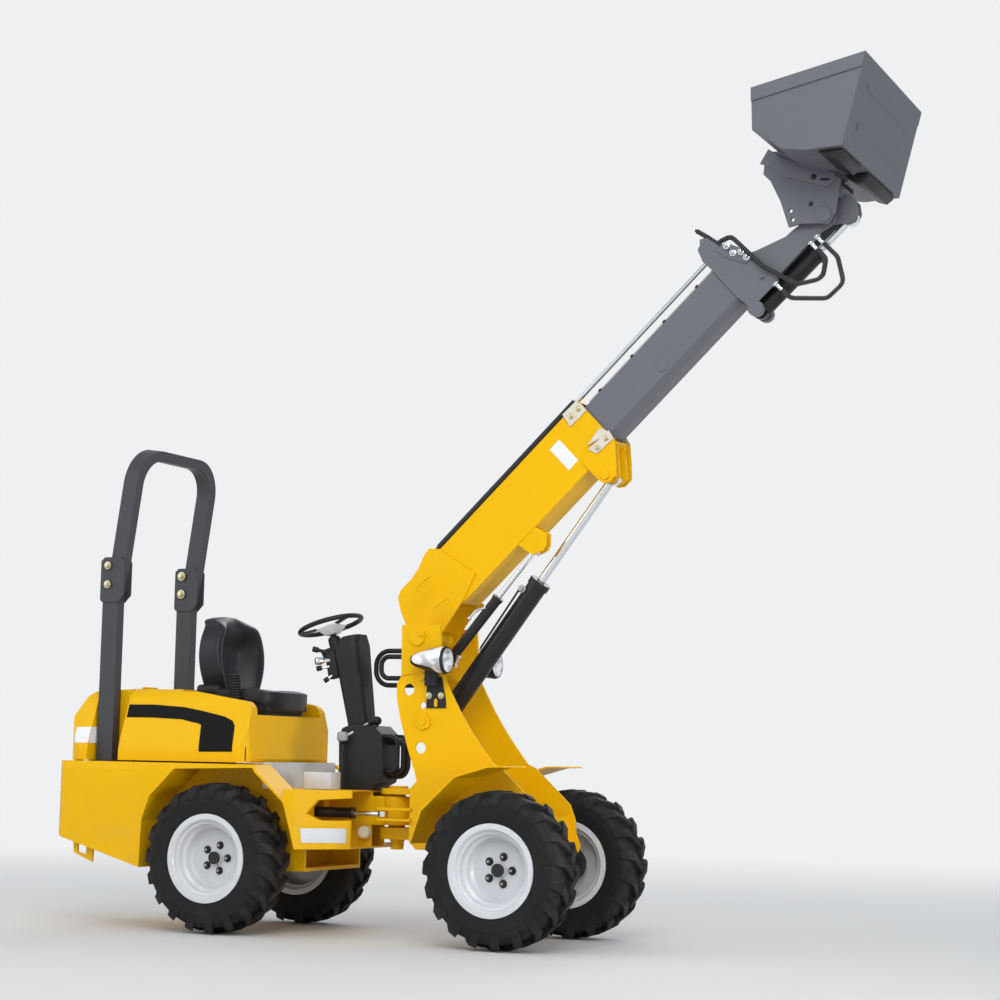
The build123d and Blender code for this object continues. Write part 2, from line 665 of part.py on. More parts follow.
# Outer boom: box, pivot plates with their boss, and the lift and levelling lugs.
boom_box = [(250, 10), (190, 159), (290, 300), (1430, 300), (1430, 0), (291, 0)]
boom_bore = [(150, 10), (150, 290), (1440, 290), (1440, 10)]
pivot_plate = [
    (361, 301), (320, 345), (274, 337), (211, 311), (135, 298), (58, 300), (17, 282),
    (-20, 215), (-45, 144), (-62, 20), (-58, -22), (-30, -54), (0, -62), (51, -37),
    (291, 11), (420, 60),
]
lift_lobe = [
    (1231, 40), (1231, -41), (1237, -106), (1267, -130), (1318, -131), (1376, -66),
    (1440, 14), (1422, 19), (1400, 60), (1260, 60),
]
lift_web = [(1240, 5), (1240, -100), (1267, -130), (1318, -131), (1370, -66), (1420, 5)]
comp_lug = [
    (690, 5), (698, -40), (715, -99), (772, -120), (800, -112), (843, -68), (820, 5),
]
lift_eye = (1275.0, -90.0)
comp_eye = (736.0, -77.0)
comp_y = -65.0
with BuildPart() as outer_boom:
    across(boom_plane, boom_box, 100)
    across(boom_plane, boom_bore, 90, Mode.SUBTRACT)
    plate_pair(boom_plane, pivot_plate, 100, 112)
    disc(boom_plane(203), (0, 0), 46, 406)
    disc(boom_plane(203), (0, 0), boom_pin_r + fit, 406, Mode.SUBTRACT)
    plate_pair(boom_plane, lift_lobe, 100, 110)
    plate_pair(boom_plane, lift_web, 44, 60)
    for lug_y in (comp_y + 32, comp_y - 20):
        slab(boom_plane(lug_y), comp_lug, 12)
    disc_pair(boom_plane, lift_eye, 22, 26, 118)
    disc(boom_plane(comp_y + 32), comp_eye, 14, 14)
    disc(boom_plane(comp_y - 18), comp_eye, 14, 14)
    across(boom_plane, [(276, 300), (276, 352), (300, 368), (324, 352), (330, 300)], 26)
    box_cut = [(270, 310), (270, 400), (334, 400), (334, 310)]
    across(boom_plane, box_cut, 14, Mode.SUBTRACT)
    disc(boom_plane(30), (300, 344), 12, 60)
save("outer_boom", outer_boom.part)

# Wear pads at the boom's mouth.
with BuildPart() as wear_pads:
    plate_pair(boom_plane, [(1324, 310), (1427, 306), (1433, 231), (1312, 232)], 100, 110)
    plate_pair(boom_plane, [(1419, 111), (1440, 62), (1405, 62), (1310, 92)], 100, 112)
save("wear_pads", wear_pads.part)

# Inner boom, sliding in the outer one.
inner_half = 85.0
inner_low = 28.0
inner_top = 255.0
inner_wall = 10.0
inner_end = 2480.0
with BuildPart() as inner_boom:
    with BuildSketch(Plane(origin=from_boom(1180, 0), x_dir=(0, 1, 0),
                           z_dir=(cos(radians(boom_angle)), 0, sin(radians(boom_angle))))):
        with BuildLine():
            Polyline((-inner_half, inner_low + 33), (-50, inner_low), (50, inner_low),
                     (inner_half, inner_low + 33), (inner_half, inner_top),
                     (-inner_half, inner_top), close=True)
        make_face()
        with BuildLine():
            Polyline((inner_wall - inner_half, inner_low + 38), (-46, inner_low + inner_wall),
                     (46, inner_low + inner_wall), (inner_half - inner_wall, inner_low + 38),
                     (inner_half - inner_wall, inner_top - inner_wall),
                     (inner_wall - inner_half, inner_top - inner_wall), close=True)
        make_face(mode=Mode.SUBTRACT)
    extrude(amount=inner_end - 1180)
    disc_pair(boom_plane, (1867, 106), 32, inner_half, inner_half + 4)
save("inner_boom", inner_boom.part)

# Boom head: plates on the inner boom and the gooseneck down to the tool pivot.
head_plate = [
    (2374, 61), (2381, 251), (2378, 325), (2402, 389), (2425, 396), (2445, 419), (2475, 400),
    (2487, 347), (2500, 230), (2566, 111), (2590, 100), (2590, -20), (2579, -40),
    (2388, -38),
]
neck_plate = [
    (2484, 205), (2500, 226), (2599, 164), (2751, 99), (2799, 95), (2960, 64), (3005, 40),
    (3010, 14), (3000, -20), (2960, -36), (2884, -15), (2590, -15), (2484, 60),
]
tool_pivot = (2960.0, 14.0)
tilt_base = (2400.0, -52.0)
tool_pin_r = 22.0
with BuildPart() as boom_head:
    plate_pair(boom_plane, head_plate, 85, 97)
    plate_pair(boom_plane, neck_plate, 52, 76)
    plate_pair(boom_plane, [(2482, 60), (2482, 220), (2500, 226), (2580, 170), (2588, 60)],
               76, 85)
    across(boom_plane, [(2484, 62), (2484, 90), (2799, 90), (2799, 66), (2600, 66)], 52)
    disc_pair(boom_plane, tilt_base, 40, 60, 85)
    disc_pair(boom_plane, tilt_base, 40, 85, 97)
    disc(boom_plane(97), tilt_base, ram_pin_r, 194)
    disc_pair(boom_plane, tool_pivot, 48, 52, 80)
    disc(boom_plane(160), tool_pivot, tool_pin_r, 320, Mode.SUBTRACT)
    across(boom_plane, [(2402, 340), (2402, 389), (2440, 395), (2470, 380), (2470, 310),
                        (2420, 310)], 85)
save("boom_head", boom_head.part)

# Extension cylinder on top of the boom.
tele_v = 344.0
tele_barrel_r = 25.0
tele_rod_r = 12.5
tele_plane = Plane(origin=from_boom(0, tele_v), x_dir=(0, 1, 0),
                   z_dir=(cos(radians(boom_angle)), 0, sin(radians(boom_angle))))
with BuildPart() as tele_barrel:
    disc(boom_plane(13), (300, tele_v), 22, 26)
    across(boom_plane, [(300, 328), (300, 360), (345, 360), (345, 328)], 13)
    with BuildSketch(tele_plane.offset(338)):
        Circle(tele_barrel_r)
    extrude(amount=1062)
    disc(boom_plane(30), (300, tele_v), 12 + fit, 60, Mode.SUBTRACT)
    across(boom_plane, [(1340, 300), (1340, 344), (1380, 344), (1380, 300)], 22)
    with BuildSketch(tele_plane.offset(350)):
        Circle(tele_rod_r + fit)
    extrude(amount=1100, mode=Mode.SUBTRACT)
save("tele_barrel", tele_barrel.part)
with BuildPart() as tele_rod:
    with BuildSketch(tele_plane.offset(1285)):
        Circle(tele_rod_r)
    extrude(amount=2402 - 1285)
    with BuildSketch(tele_plane.offset(2384)):
        Circle(20)
    extrude(amount=18)
save("tele_rod", tele_rod.part)

# Tool carrier on the gooseneck, with the lug for the tilt cylinder.
tilt_arm = 105.0
tilt_eye = (tool_pivot[0] + tilt_arm * cos(radians(45)),
            tool_pivot[1] - tilt_arm * sin(radians(45)))
carrier_ear = [
    (2799, 105), (2860, 228), (2897, 341), (2897, 395), (2950, 440), (2996, 458),
    (3026, 422), (3052, 376), (3050, 317), (3055, 250), (3129, 149), (3140, 80),
    (3062, 19), (3010, -20), (2942, -33), (2905, 10), (2850, 70),
]
carrier_holes = [
    # u, v, radius
    (3059, 183, 16), (2954, 100, 12), (2862, 155, 10), (2838, 115, 10),
]
with BuildPart() as tool_carrier:
    plate_pair(boom_plane, carrier_ear, 104, 122)
    plate_pair(boom_plane, [(2935, 14), (2960, 48), (3060, 60), (3110, 60), (3112, -30),
                            (3080, -75), (3040, -90), (3005, -75), (2950, -18)], 24, 40)
    across(boom_plane, [(3070, 30), (3070, 60), (3120, 60), (3120, 30)], 104)
    across(boom_plane, [(3010, 250), (3010, 400), (3025, 400), (3025, 250)], 104)
    disc(boom_plane(130), tool_pivot, tool_pin_r - fit, 260)
    disc_pair(boom_plane, tool_pivot, 38, 104, 130)
    disc_pair(boom_plane, tilt_eye, 16, 21, 40)
    for hole_u, hole_v, hole_r in carrier_holes:
        disc(boom_plane(130), (hole_u, hole_v), hole_r, 26, Mode.SUBTRACT)
        disc(boom_plane(-104), (hole_u, hole_v), hole_r, 26, Mode.SUBTRACT)
save("tool_carrier", tool_carrier.part)

# Bucket: shell, side plates and cutting edges.
bucket_half = 525.0
bucket_side = [
    (3166, 576), (3026, 422), (3052, 376), (3050, 317), (3055, 250), (3129, 149),
    (3262, 28), (3653, 266),
]
bucket_inner = [
    (3186, 576), (3046, 420), (3062, 380), (3060, 318), (3065, 253), (3137, 156),
    (3263, 40), (3670, 288),
]
side_cutter = [(3653, 266), (3166, 576), (3121, 527), (3591, 228)]
floor_low = Vector(3262, 28)
floor_lip = Vector(3653, 266)
floor_along = (floor_lip - floor_low).normalized()
floor_out = Vector(floor_along.Y, -floor_along.X)
floor_ribs = (0.28, 0.72)
with BuildPart() as bucket:
    across(boom_plane, bucket_side, bucket_half)
    across(boom_plane, bucket_inner, bucket_half - 10, Mode.SUBTRACT)
    plate_pair(boom_plane, side_cutter, bucket_half, bucket_half + 8)
    for share in floor_ribs:
        foot = floor_low + (floor_lip - floor_low) * share
        corners = [foot - floor_along * 19, foot + floor_along * 19,
                   foot + floor_along * 9 + floor_out * 7, foot - floor_along * 9 + floor_out * 7]
        across(boom_plane, [(corner.X, corner.Y) for corner in corners], bucket_half - 145)
save("bucket", bucket.part)

# Cylinders: lift, levelling, tilt and steering.
across_pin = (0, -1, 0)
rams = [
    # name, base point, eye point, pin axis, sizes
    ("lift", (front_axle_x + lift_base[0], 0, lift_base[1]), from_boom(*lift_eye),
     across_pin, (52, 22, 910, 620, 40, 48, ram_pin_r)),
    ("comp", (front_axle_x + comp_base[0], comp_y, comp_base[1]),
     from_boom(*comp_eye, comp_y), across_pin, (27, 13, 540, 310, 28, 30, ram_pin_r)),
    ("tilt", from_boom(*tilt_base), from_boom(*tilt_eye), across_pin,
     (44, 18, 410, 240, 40, 40, ram_pin_r)),
    ("steering", steer_base, steer_eye, (0, 0, 1), (27, 13, 345, 205, 28, 28, 14)),
]
for ram_name, base, eye, pin_axis, sizes in rams:
    ram_barrel, ram_rod = ram(base, eye, pin_axis, sizes)
    save(f"{ram_name}_barrel", ram_barrel)
    save(f"{ram_name}_rod", ram_rod)

# Hoses that loop back from the mast, and those at the boom's head.
mast_hose_r = 13.0
mast_hoses_table = [
    # side, rearmost point, lower and upper height, bend radius
    (44, -984, 1302, 1484, 86),
    (12, -936, 1338, 1452, 54),
]
hose_start = -664.0
with BuildPart() as mast_hoses:
    for lane, rearmost, low, high, bend_r in mast_hoses_table:
        wall = mast_inner - 0.3
        route = [(hose_start, wall, high), (hose_start, lane, high), (rearmost, lane, high),
                 (rearmost, lane, low), (hose_start, lane, low), (hose_start, wall, low)]
        add(hose([(front_axle_x + x, y, z) for x, y, z in route], bend_r - 8, mast_hose_r))
save("mast_hoses", mast_hoses.part)
head_hose_r = 9.0
head_hoses_table = [
    # bend radius, then u, v and side of each corner
    (44, [(2470.4, 345, -66), (2505, 345, -66), (2568, 300, -110), (2574, 60, -122),
          (2630, -140, -128), (2735, -215, -128), (2815, -130, -64), (2815, -15.4, -64)]),
    (44, [(2556, -40.2, -91), (2556, -150, -91), (2680, -290, -92), (2790, -296, -92),
          (2858, -170, -64), (2858, -15.4, -64)]),
]
with BuildPart() as head_hoses:
    for bend_r, corners in head_hoses_table:
        add(hose([from_boom(u, v, y) for u, v, y in corners], bend_r, head_hose_r))
save("head_hoses", head_hoses.part)
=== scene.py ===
"""Looks of a compact articulated telehandler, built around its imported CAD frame."""

import logging
import math
from collections.abc import Callable
from dataclasses import dataclass, field
from enum import Enum

import bpy
from mathutils import Matrix, Vector


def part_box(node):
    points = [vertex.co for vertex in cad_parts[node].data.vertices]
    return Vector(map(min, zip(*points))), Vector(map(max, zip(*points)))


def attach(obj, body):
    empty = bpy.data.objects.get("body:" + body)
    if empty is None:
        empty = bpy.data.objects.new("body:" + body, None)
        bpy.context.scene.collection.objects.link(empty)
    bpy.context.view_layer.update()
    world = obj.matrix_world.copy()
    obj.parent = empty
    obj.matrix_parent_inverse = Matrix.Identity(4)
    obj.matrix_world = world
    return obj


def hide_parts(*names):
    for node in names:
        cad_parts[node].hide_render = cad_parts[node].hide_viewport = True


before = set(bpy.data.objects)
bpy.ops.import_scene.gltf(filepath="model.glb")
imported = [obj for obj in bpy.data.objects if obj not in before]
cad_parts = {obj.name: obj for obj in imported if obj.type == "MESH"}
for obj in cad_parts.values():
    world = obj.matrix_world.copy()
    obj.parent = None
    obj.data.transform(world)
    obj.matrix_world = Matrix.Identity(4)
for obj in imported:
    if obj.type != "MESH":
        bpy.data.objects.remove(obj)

LOG = logging.getLogger("telehandler")
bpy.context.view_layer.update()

FRONT_AXLE_X = sum(c.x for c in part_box("front_axle")) / 2
REAR_AXLE_X = sum(c.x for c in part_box("rear_axle")) / 2
AXLE_HEIGHT = 0.3875
BOOM_PIVOT = Vector((FRONT_AXLE_X - 0.600, 0.0, 1.540))
BOOM_ANGLE = math.radians(44.0)
SIDES = (("left", 1), ("right", -1))
Triple = tuple[float, float, float]
Pairs = tuple[tuple[float, float], ...] | list[tuple[float, float]]
Piece = bpy.types.Object
Test = Callable[[Vector, Vector], bool]


def from_boom(u: float, v: float, y: float = 0.0) -> Vector:
    """Point of the machine at u along the boom and v above its axis, in metres."""
    c, s = math.cos(BOOM_ANGLE), math.sin(BOOM_ANGLE)
    return BOOM_PIVOT + Vector((u * c - v * s, y, u * s + v * c))


class Signal:
    """A shader value whose arithmetic adds Math nodes."""

    def __init__(self, graph: "Graph", socket: bpy.types.NodeSocket) -> None:
        """Keep the socket and the graph that it belongs to."""
        self.graph = graph
        self.socket = socket

    def math(self, operation: str, *others: "Signal | float") -> "Signal":
        """Apply one Math operation to this value and the others.

        Args:
            operation: name of the Math node's operation.
            others: the second and third operands.

        Returns:
            The result as a new signal.
        """
        values = {i: v for i, v in enumerate((self, *others))}
        return self.graph.node("ShaderNodeMath", values, operation=operation)

    def __add__(self, other: "Signal | float") -> "Signal":
        """Sum."""
        return self.math("ADD", other)

    __radd__ = __add__

    def __mul__(self, other: "Signal | float") -> "Signal":
        """Product."""
        return self.math("MULTIPLY", other)

    __rmul__ = __mul__

    def __sub__(self, other: "Signal | float") -> "Signal":
        """Difference."""
        return self.math("SUBTRACT", other)

    def __rsub__(self, other: float) -> "Signal":
        """Difference from a plain number."""
        return self.graph.node("ShaderNodeMath", {0: other, 1: self}, operation="SUBTRACT")

    def __pow__(self, other: float) -> "Signal":
        """Power."""
        return self.math("POWER", other)

    def ramp(self, low: float, high: float) -> "Signal":
        """Smooth step from 0 at low to 1 at high."""
        return self.graph.node("ShaderNodeMapRange", {0: self, 1: low, 2: high, 3: 0.0, 4: 1.0},
                               interpolation_type="SMOOTHSTEP")


class Graph:
    """Node tree of one material."""

    def __init__(self, name: str) -> None:
        """Start a material with its main shader and the point on the object.

        Args:
            name: the material's name.
        """
        self.material = bpy.data.materials.new(name)
        self.material.use_nodes = True
        self.tree = self.material.node_tree
        self.shader = self.tree.nodes["Principled BSDF"]
        self.place = self.node("ShaderNodeTexCoord", {}, output="Object")

    def node(self, kind: str, values: dict, output: int | str = 0, **settings) -> Signal:
        """Add one node.

        Args:
            kind: the node's type.
            values: numbers, colours or signals for its sockets, by index or name.
            output: which output to read.
            settings: properties of the node, set first.

        Returns:
            The chosen output as a signal.
        """
        made = self.tree.nodes.new(kind)
        for key, value in settings.items():
            setattr(made, key, value)
        for key, value in values.items():
            self.feed(made.inputs[key], value)
        return Signal(self, made.outputs[output])

    def feed(self, socket: bpy.types.NodeSocket, value: object) -> None:
        """Link a signal to a socket, or set the socket's own value.

        Args:
            socket: the input to set.
            value: a signal, a number or a colour.
        """
        if isinstance(value, Signal):
            self.tree.links.new(value.socket, socket)
        elif isinstance(value, (tuple, list, Vector)) and len(socket.default_value) == 4:
            socket.default_value = (*value, 1.0)
        else:
            socket.default_value = value

    def axis(self, name: str) -> Signal:
        """One coordinate of the point, named X, Y or Z."""
        return self.node("ShaderNodeSeparateXYZ", {0: self.place}, output=name)

    def noise(self, scale: float, detail: float = 3.0, rough: float = 0.5,
              stretch: Triple | None = None) -> Signal:
        """Cloudy noise from 0 to 1 at a scale per metre, stretched where asked.

        Args:
            scale: cells in a metre.
            detail: how many finer layers it has.
            rough: how strong the finer layers are.
            stretch: scale along each axis.

        Returns:
            The noise as a signal.
        """
        where = self.place
        if stretch:
            where = self.node("ShaderNodeMapping", {"Vector": self.place, "Scale": stretch})
        return self.node("ShaderNodeTexNoise", {"Vector": where, "Scale": scale, "Detail": detail,
                                                "Roughness": rough})

    def cells(self, scale: float) -> Signal:
        """Distance to the nearest cell centre of a Voronoi pattern."""
        return self.node("ShaderNodeTexVoronoi", {"Vector": self.place, "Scale": scale})

    def blend(self, factor: Signal | float, first: object, second: object) -> Signal:
        """Mix two colours."""
        return self.node("ShaderNodeMix", {0: factor, 6: first, 7: second}, output=2,
                         data_type="RGBA")

    def bump(self, height: Signal, strength: float, depth: float,
             under: Signal | None = None) -> Signal:
        """Bump from a height, on top of another normal where given.

        Args:
            height: the surface's height.
            strength: how much of it shows.
            depth: height of a full step in metres.
            under: the normal below it.

        Returns:
            The bent normal.
        """
        values = {"Height": height, "Strength": strength, "Distance": depth}
        if under:
            values["Normal"] = under
        return self.node("ShaderNodeBump", values)

    def soft_edges(self, radius: float) -> Signal:
        """Normal that rounds sharp edges by a radius in metres."""
        return self.node("ShaderNodeBevel", {"Radius": radius}, samples=4)

    def set(self, **sockets: object) -> None:
        """Feed sockets of the main shader, with underscores for spaces."""
        for key, value in sockets.items():
            self.feed(self.shader.inputs[key.replace("_", " ")], value)


@dataclass(frozen=True)
class Paint:
    """Sprayed paint with dust low down and slight waviness."""

    name: str
    colour: Triple
    roughness: float = 0.34
    coat: float = 0.35
    dust: float = 0.35
    scuff: float = 0.0
    scuff_colour: Triple = (0.05, 0.05, 0.055)
    edge: float = 0.003
    specular: float = 0.35

    def build(self) -> bpy.types.Material:
        """Make the material.

        Returns:
            The finished material.
        """
        g = Graph(self.name)
        r, gr, b = self.colour
        cloud = g.noise(2.3, 4.0)
        tone = g.blend(cloud, (r * 0.94, gr * 0.93, b * 0.9), (r * 1.03, gr * 1.03, b * 1.05))
        low = 1 - g.axis("Z").ramp(0.15, 0.95)
        dirt = low * g.noise(9.0, 6.0, 0.65).ramp(0.35, 0.75) * self.dust
        tone = g.blend(dirt, tone, (0.23, 0.19, 0.14))
        rough = g.noise(30.0, 3.0) * 0.10 + (self.roughness - 0.05) + dirt * 0.5
        if self.scuff:
            streak = g.noise(26.0, 5.0, 0.7).ramp(0.62, 0.70)
            patch = g.noise(3.1, 2.0).ramp(0.5, 0.62)
            worn = streak * patch * self.scuff
            tone = g.blend(worn, tone, self.scuff_colour)
            rough = rough + worn * 0.15
        peel = g.bump(g.noise(260.0, 2.0), 0.05, 0.001, g.soft_edges(self.edge))
        g.set(Base_Color=tone, Roughness=rough, Normal=peel, Coat_Weight=self.coat,
              Coat_Roughness=0.12, Specular_IOR_Level=self.specular)
        return g.material


@dataclass(frozen=True)
class Rubber:
    """Tyre rubber: dusty lugs, ribbed sidewall, centred on its axle."""

    name: str
    axle_x: float
    colour: Triple = (0.010, 0.010, 0.011)

    def build(self) -> bpy.types.Material:
        """Make the material.

        Returns:
            The finished material.
        """
        g = Graph(self.name)
        dx = g.axis("X") - self.axle_x
        dz = g.axis("Z") - AXLE_HEIGHT
        radius = (dx * dx + dz * dz) ** 0.5
        dust = radius.ramp(0.30, 0.385) * g.noise(14.0, 5.0, 0.6).ramp(0.3, 0.75)
        grime = g.noise(5.0, 4.0).ramp(0.4, 0.8) * 0.25
        tone = g.blend(dust * 0.3 + grime * 0.3, self.colour, (0.10, 0.088, 0.072))
        rings = (radius * 720.0).math("SINE") * (1 - radius.ramp(0.27, 0.29)) * 0.5
        grain = g.bump(g.noise(420.0, 2.0), 0.12, 0.001, g.soft_edges(0.004))
        g.set(Base_Color=tone, Roughness=g.noise(40.0) * 0.2 + 0.58,
              Normal=g.bump(rings, 0.25, 0.002, grain), Specular_IOR_Level=0.22)
        return g.material


@dataclass(frozen=True)
class Moulded:
    """Moulded plastic or grained vinyl."""

    name: str
    colour: Triple
    roughness: float = 0.5
    grain: float = 700.0
    depth: float = 0.0004
    strength: float = 0.25
    coat: float = 0.0

    def build(self) -> bpy.types.Material:
        """Make the material.

        Returns:
            The finished material.
        """
        g = Graph(self.name)
        r, gr, b = self.colour
        tone = g.blend(g.noise(6.0, 4.0), (r * 0.85, gr * 0.85, b * 0.85),
                       (r * 1.2, gr * 1.2, b * 1.2))
        skin = g.bump(g.cells(self.grain), self.strength, self.depth, g.soft_edges(0.003))
        g.set(Base_Color=tone, Roughness=g.noise(18.0) * 0.14 + (self.roughness - 0.07),
              Normal=skin, Coat_Weight=self.coat, Specular_IOR_Level=0.3)
        return g.material


@dataclass(frozen=True)
class Metal:
    """Bare, plated or cast metal with fine scratches."""

    name: str
    colour: Triple
    roughness: float = 0.25
    metallic: float = 1.0
    scratch: float = 0.1
    stain: float = 0.15

    def build(self) -> bpy.types.Material:
        """Make the material.

        Returns:
            The finished material.
        """
        g = Graph(self.name)
        r, gr, b = self.colour
        stain = g.noise(11.0, 5.0, 0.6).ramp(0.45, 0.75) * self.stain
        tone = g.blend(stain, self.colour, (r * 0.5, gr * 0.47, b * 0.43))
        lines = g.noise(90.0, 4.0, 0.7, (1.0, 12.0, 1.0))
        g.set(Base_Color=tone, Roughness=lines * 0.12 + self.roughness + stain * 0.4,
              Normal=g.bump(lines, self.scratch, 0.0005, g.soft_edges(0.002)),
              Metallic=self.metallic)
        return g.material


@dataclass(frozen=True)
class ClearLens:
    """Clear fluted lens whose colour paints the reflection of the bright reflector behind it: light
    and grey glints and faint stripes along the flutes.
    """

    name: str

    def build(self) -> bpy.types.Material:
        """Make the material.

        Returns:
            The finished material.
        """
        g = Graph(self.name)
        # Painted reflection: the flute stripes and the glints below stand in for light reflected
        # from the reflector, not a colour of the glass.
        painted_flute_stripes = (g.axis("X") * 420.0).math("SINE") * 0.5 + 0.5
        painted_glints = g.noise(15.0, 1.0, 0.3, (1.0, 1.0, 2.0)).ramp(0.36, 0.56)
        tone = g.blend(painted_glints, (0.42, 0.43, 0.46), (0.95, 0.95, 0.97))
        g.set(Base_Color=g.blend(painted_flute_stripes * 0.15, tone, (0.60, 0.62, 0.66)), Coat_Weight=1.0,
              Roughness=g.noise(30.0) * 0.1 + 0.14, Normal=g.bump(painted_glints, 0.12, 0.002),
              Metallic=0.2)
        return g.material


class Finish(Enum):
    """Every finish on the machine."""

    YELLOW = Paint("yellow_paint", (0.82, 0.455, 0.0), 0.40, 0.04, 0.2, specular=0.12)
    SLATE = Paint("slate_paint", (0.135, 0.137, 0.160), 0.42, 0.08, 0.1, 0.8, (0.05, 0.05, 0.055))
    HOOP = Paint("hoop_paint", (0.052, 0.053, 0.060), 0.45, 0.05, 0.2, specular=0.25)
    BUCKET = Paint("bucket_paint", (0.125, 0.128, 0.150), 0.5, 0.05, 0.1, 0.5, (0.06, 0.06, 0.065))
    BLACK = Paint("black_paint", (0.012, 0.012, 0.013), 0.38, 0.1, 0.15, specular=0.3)
    SILVER = Paint("silver_paint", (0.64, 0.65, 0.67), 0.30, 0.3, 0.12, specular=0.5)
    STRIPE = Paint("stripe_film", (0.006, 0.006, 0.006), 0.4, 0.0, 0.0, edge=0.0005, specular=0.08)
    WHITE = Paint("white_label", (0.80, 0.80, 0.82), 0.35, 0.1, 0.0, edge=0.0005)
    PLASTIC = Moulded("black_plastic", (0.014, 0.014, 0.015), 0.48)
    VINYL = Moulded("seat_vinyl", (0.015, 0.015, 0.018), 0.40, 520.0, 0.0006, 0.3)
    HOSE = Moulded("hose_rubber", (0.012, 0.012, 0.013), 0.5, 900.0)
    SPIRAL = Moulded("spiral_guard", (0.060, 0.060, 0.066), 0.4, 900.0)
    GREY = Moulded("grey_plastic", (0.30, 0.30, 0.31), 0.35, 300.0, 0.0002)
    PAD = Moulded("pad_plastic", (0.62, 0.58, 0.47), 0.4, 300.0, 0.0002)
    CREAM = Moulded("cream_cap", (0.75, 0.70, 0.52), 0.4, 300.0, 0.0002)
    CHROME = Metal("rod_chrome", (0.80, 0.81, 0.83), 0.10, 1.0, 0.04, 0.05)
    STEEL = Metal("pin_steel", (0.50, 0.49, 0.46), 0.28)
    ZINC = Metal("yellow_zinc", (0.62, 0.56, 0.36), 0.3)
    SHEET = Metal("silver_sheet", (0.60, 0.62, 0.65), 0.38, 0.2, 0.1, 0.2)
    CAST = Metal("cast_housing", (0.030, 0.030, 0.032), 0.5, 0.3, 0.3, 0.5)
    LENS = ClearLens("lamp_glass")
    REAR_RUBBER = Rubber("tyre_rubber_rear", REAR_AXLE_X)
    FRONT_RUBBER = Rubber("tyre_rubber_front", FRONT_AXLE_X)


class Palette:
    """Builds each finish once and hands it out."""

    def __init__(self) -> None:
        """Start with no material made."""
        self.made: dict[Finish, bpy.types.Material] = {}

    def get(self, finish: Finish) -> bpy.types.Material:
        """The material of a finish.

        Args:
            finish: the finish asked for.

        Returns:
            Its material, made when first asked for.
        """
        if finish not in self.made:
            self.made[finish] = finish.value.build()
        return self.made[finish]

    def dress(self, piece: Piece, finish: Finish) -> None:
        """Give a whole piece one finish."""
        piece.data.materials.clear()
        piece.data.materials.append(self.get(finish))

    def dress_nodes(self) -> None:
        """Give every CAD node its finish."""
        for name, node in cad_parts.items():
            self.dress(node, NODE_FINISH.get(name) or self.by_kind(name))
            LOG.info("dressed %s", name)

    @staticmethod
    def by_kind(name: str) -> Finish:
        """Finish of a node that its kind of name decides.

        Args:
            name: the node's name.

        Returns:
            The finish.
        """
        if name.startswith("rim_"):
            return Finish.SILVER
        if name.startswith("tyre_"):
            return Finish.FRONT_RUBBER if "front" in name else Finish.REAR_RUBBER
        return Finish.CHROME if name.endswith("_rod") else Finish.BLACK


NODE_FINISH = {
    "rear_tub": Finish.YELLOW, "rear_neck": Finish.YELLOW, "rear_cowl": Finish.YELLOW,
    "seat_hood": Finish.YELLOW, "front_frame": Finish.YELLOW, "outer_boom": Finish.YELLOW,
    "rear_axle": Finish.CAST, "front_axle": Finish.CAST, "engine_block": Finish.CAST,
    "step_box": Finish.SHEET, "hoop_posts": Finish.HOOP, "hoop_upper": Finish.HOOP,
    "console": Finish.PLASTIC, "control_levers": Finish.PLASTIC, "seat_base": Finish.PLASTIC,
    "steering_wheel": Finish.PLASTIC, "seat": Finish.VINYL, "frame_pins": Finish.YELLOW,
    "lamp_housings": Finish.PLASTIC, "lamp_lenses": Finish.LENS, "wear_pads": Finish.PAD,
    "tele_barrel": Finish.BLACK, "inner_boom": Finish.SLATE, "boom_head": Finish.SLATE,
    "tool_carrier": Finish.SLATE, "bucket": Finish.BUCKET, "head_hoses": Finish.HOSE,
    "mast_hoses": Finish.HOSE,
}


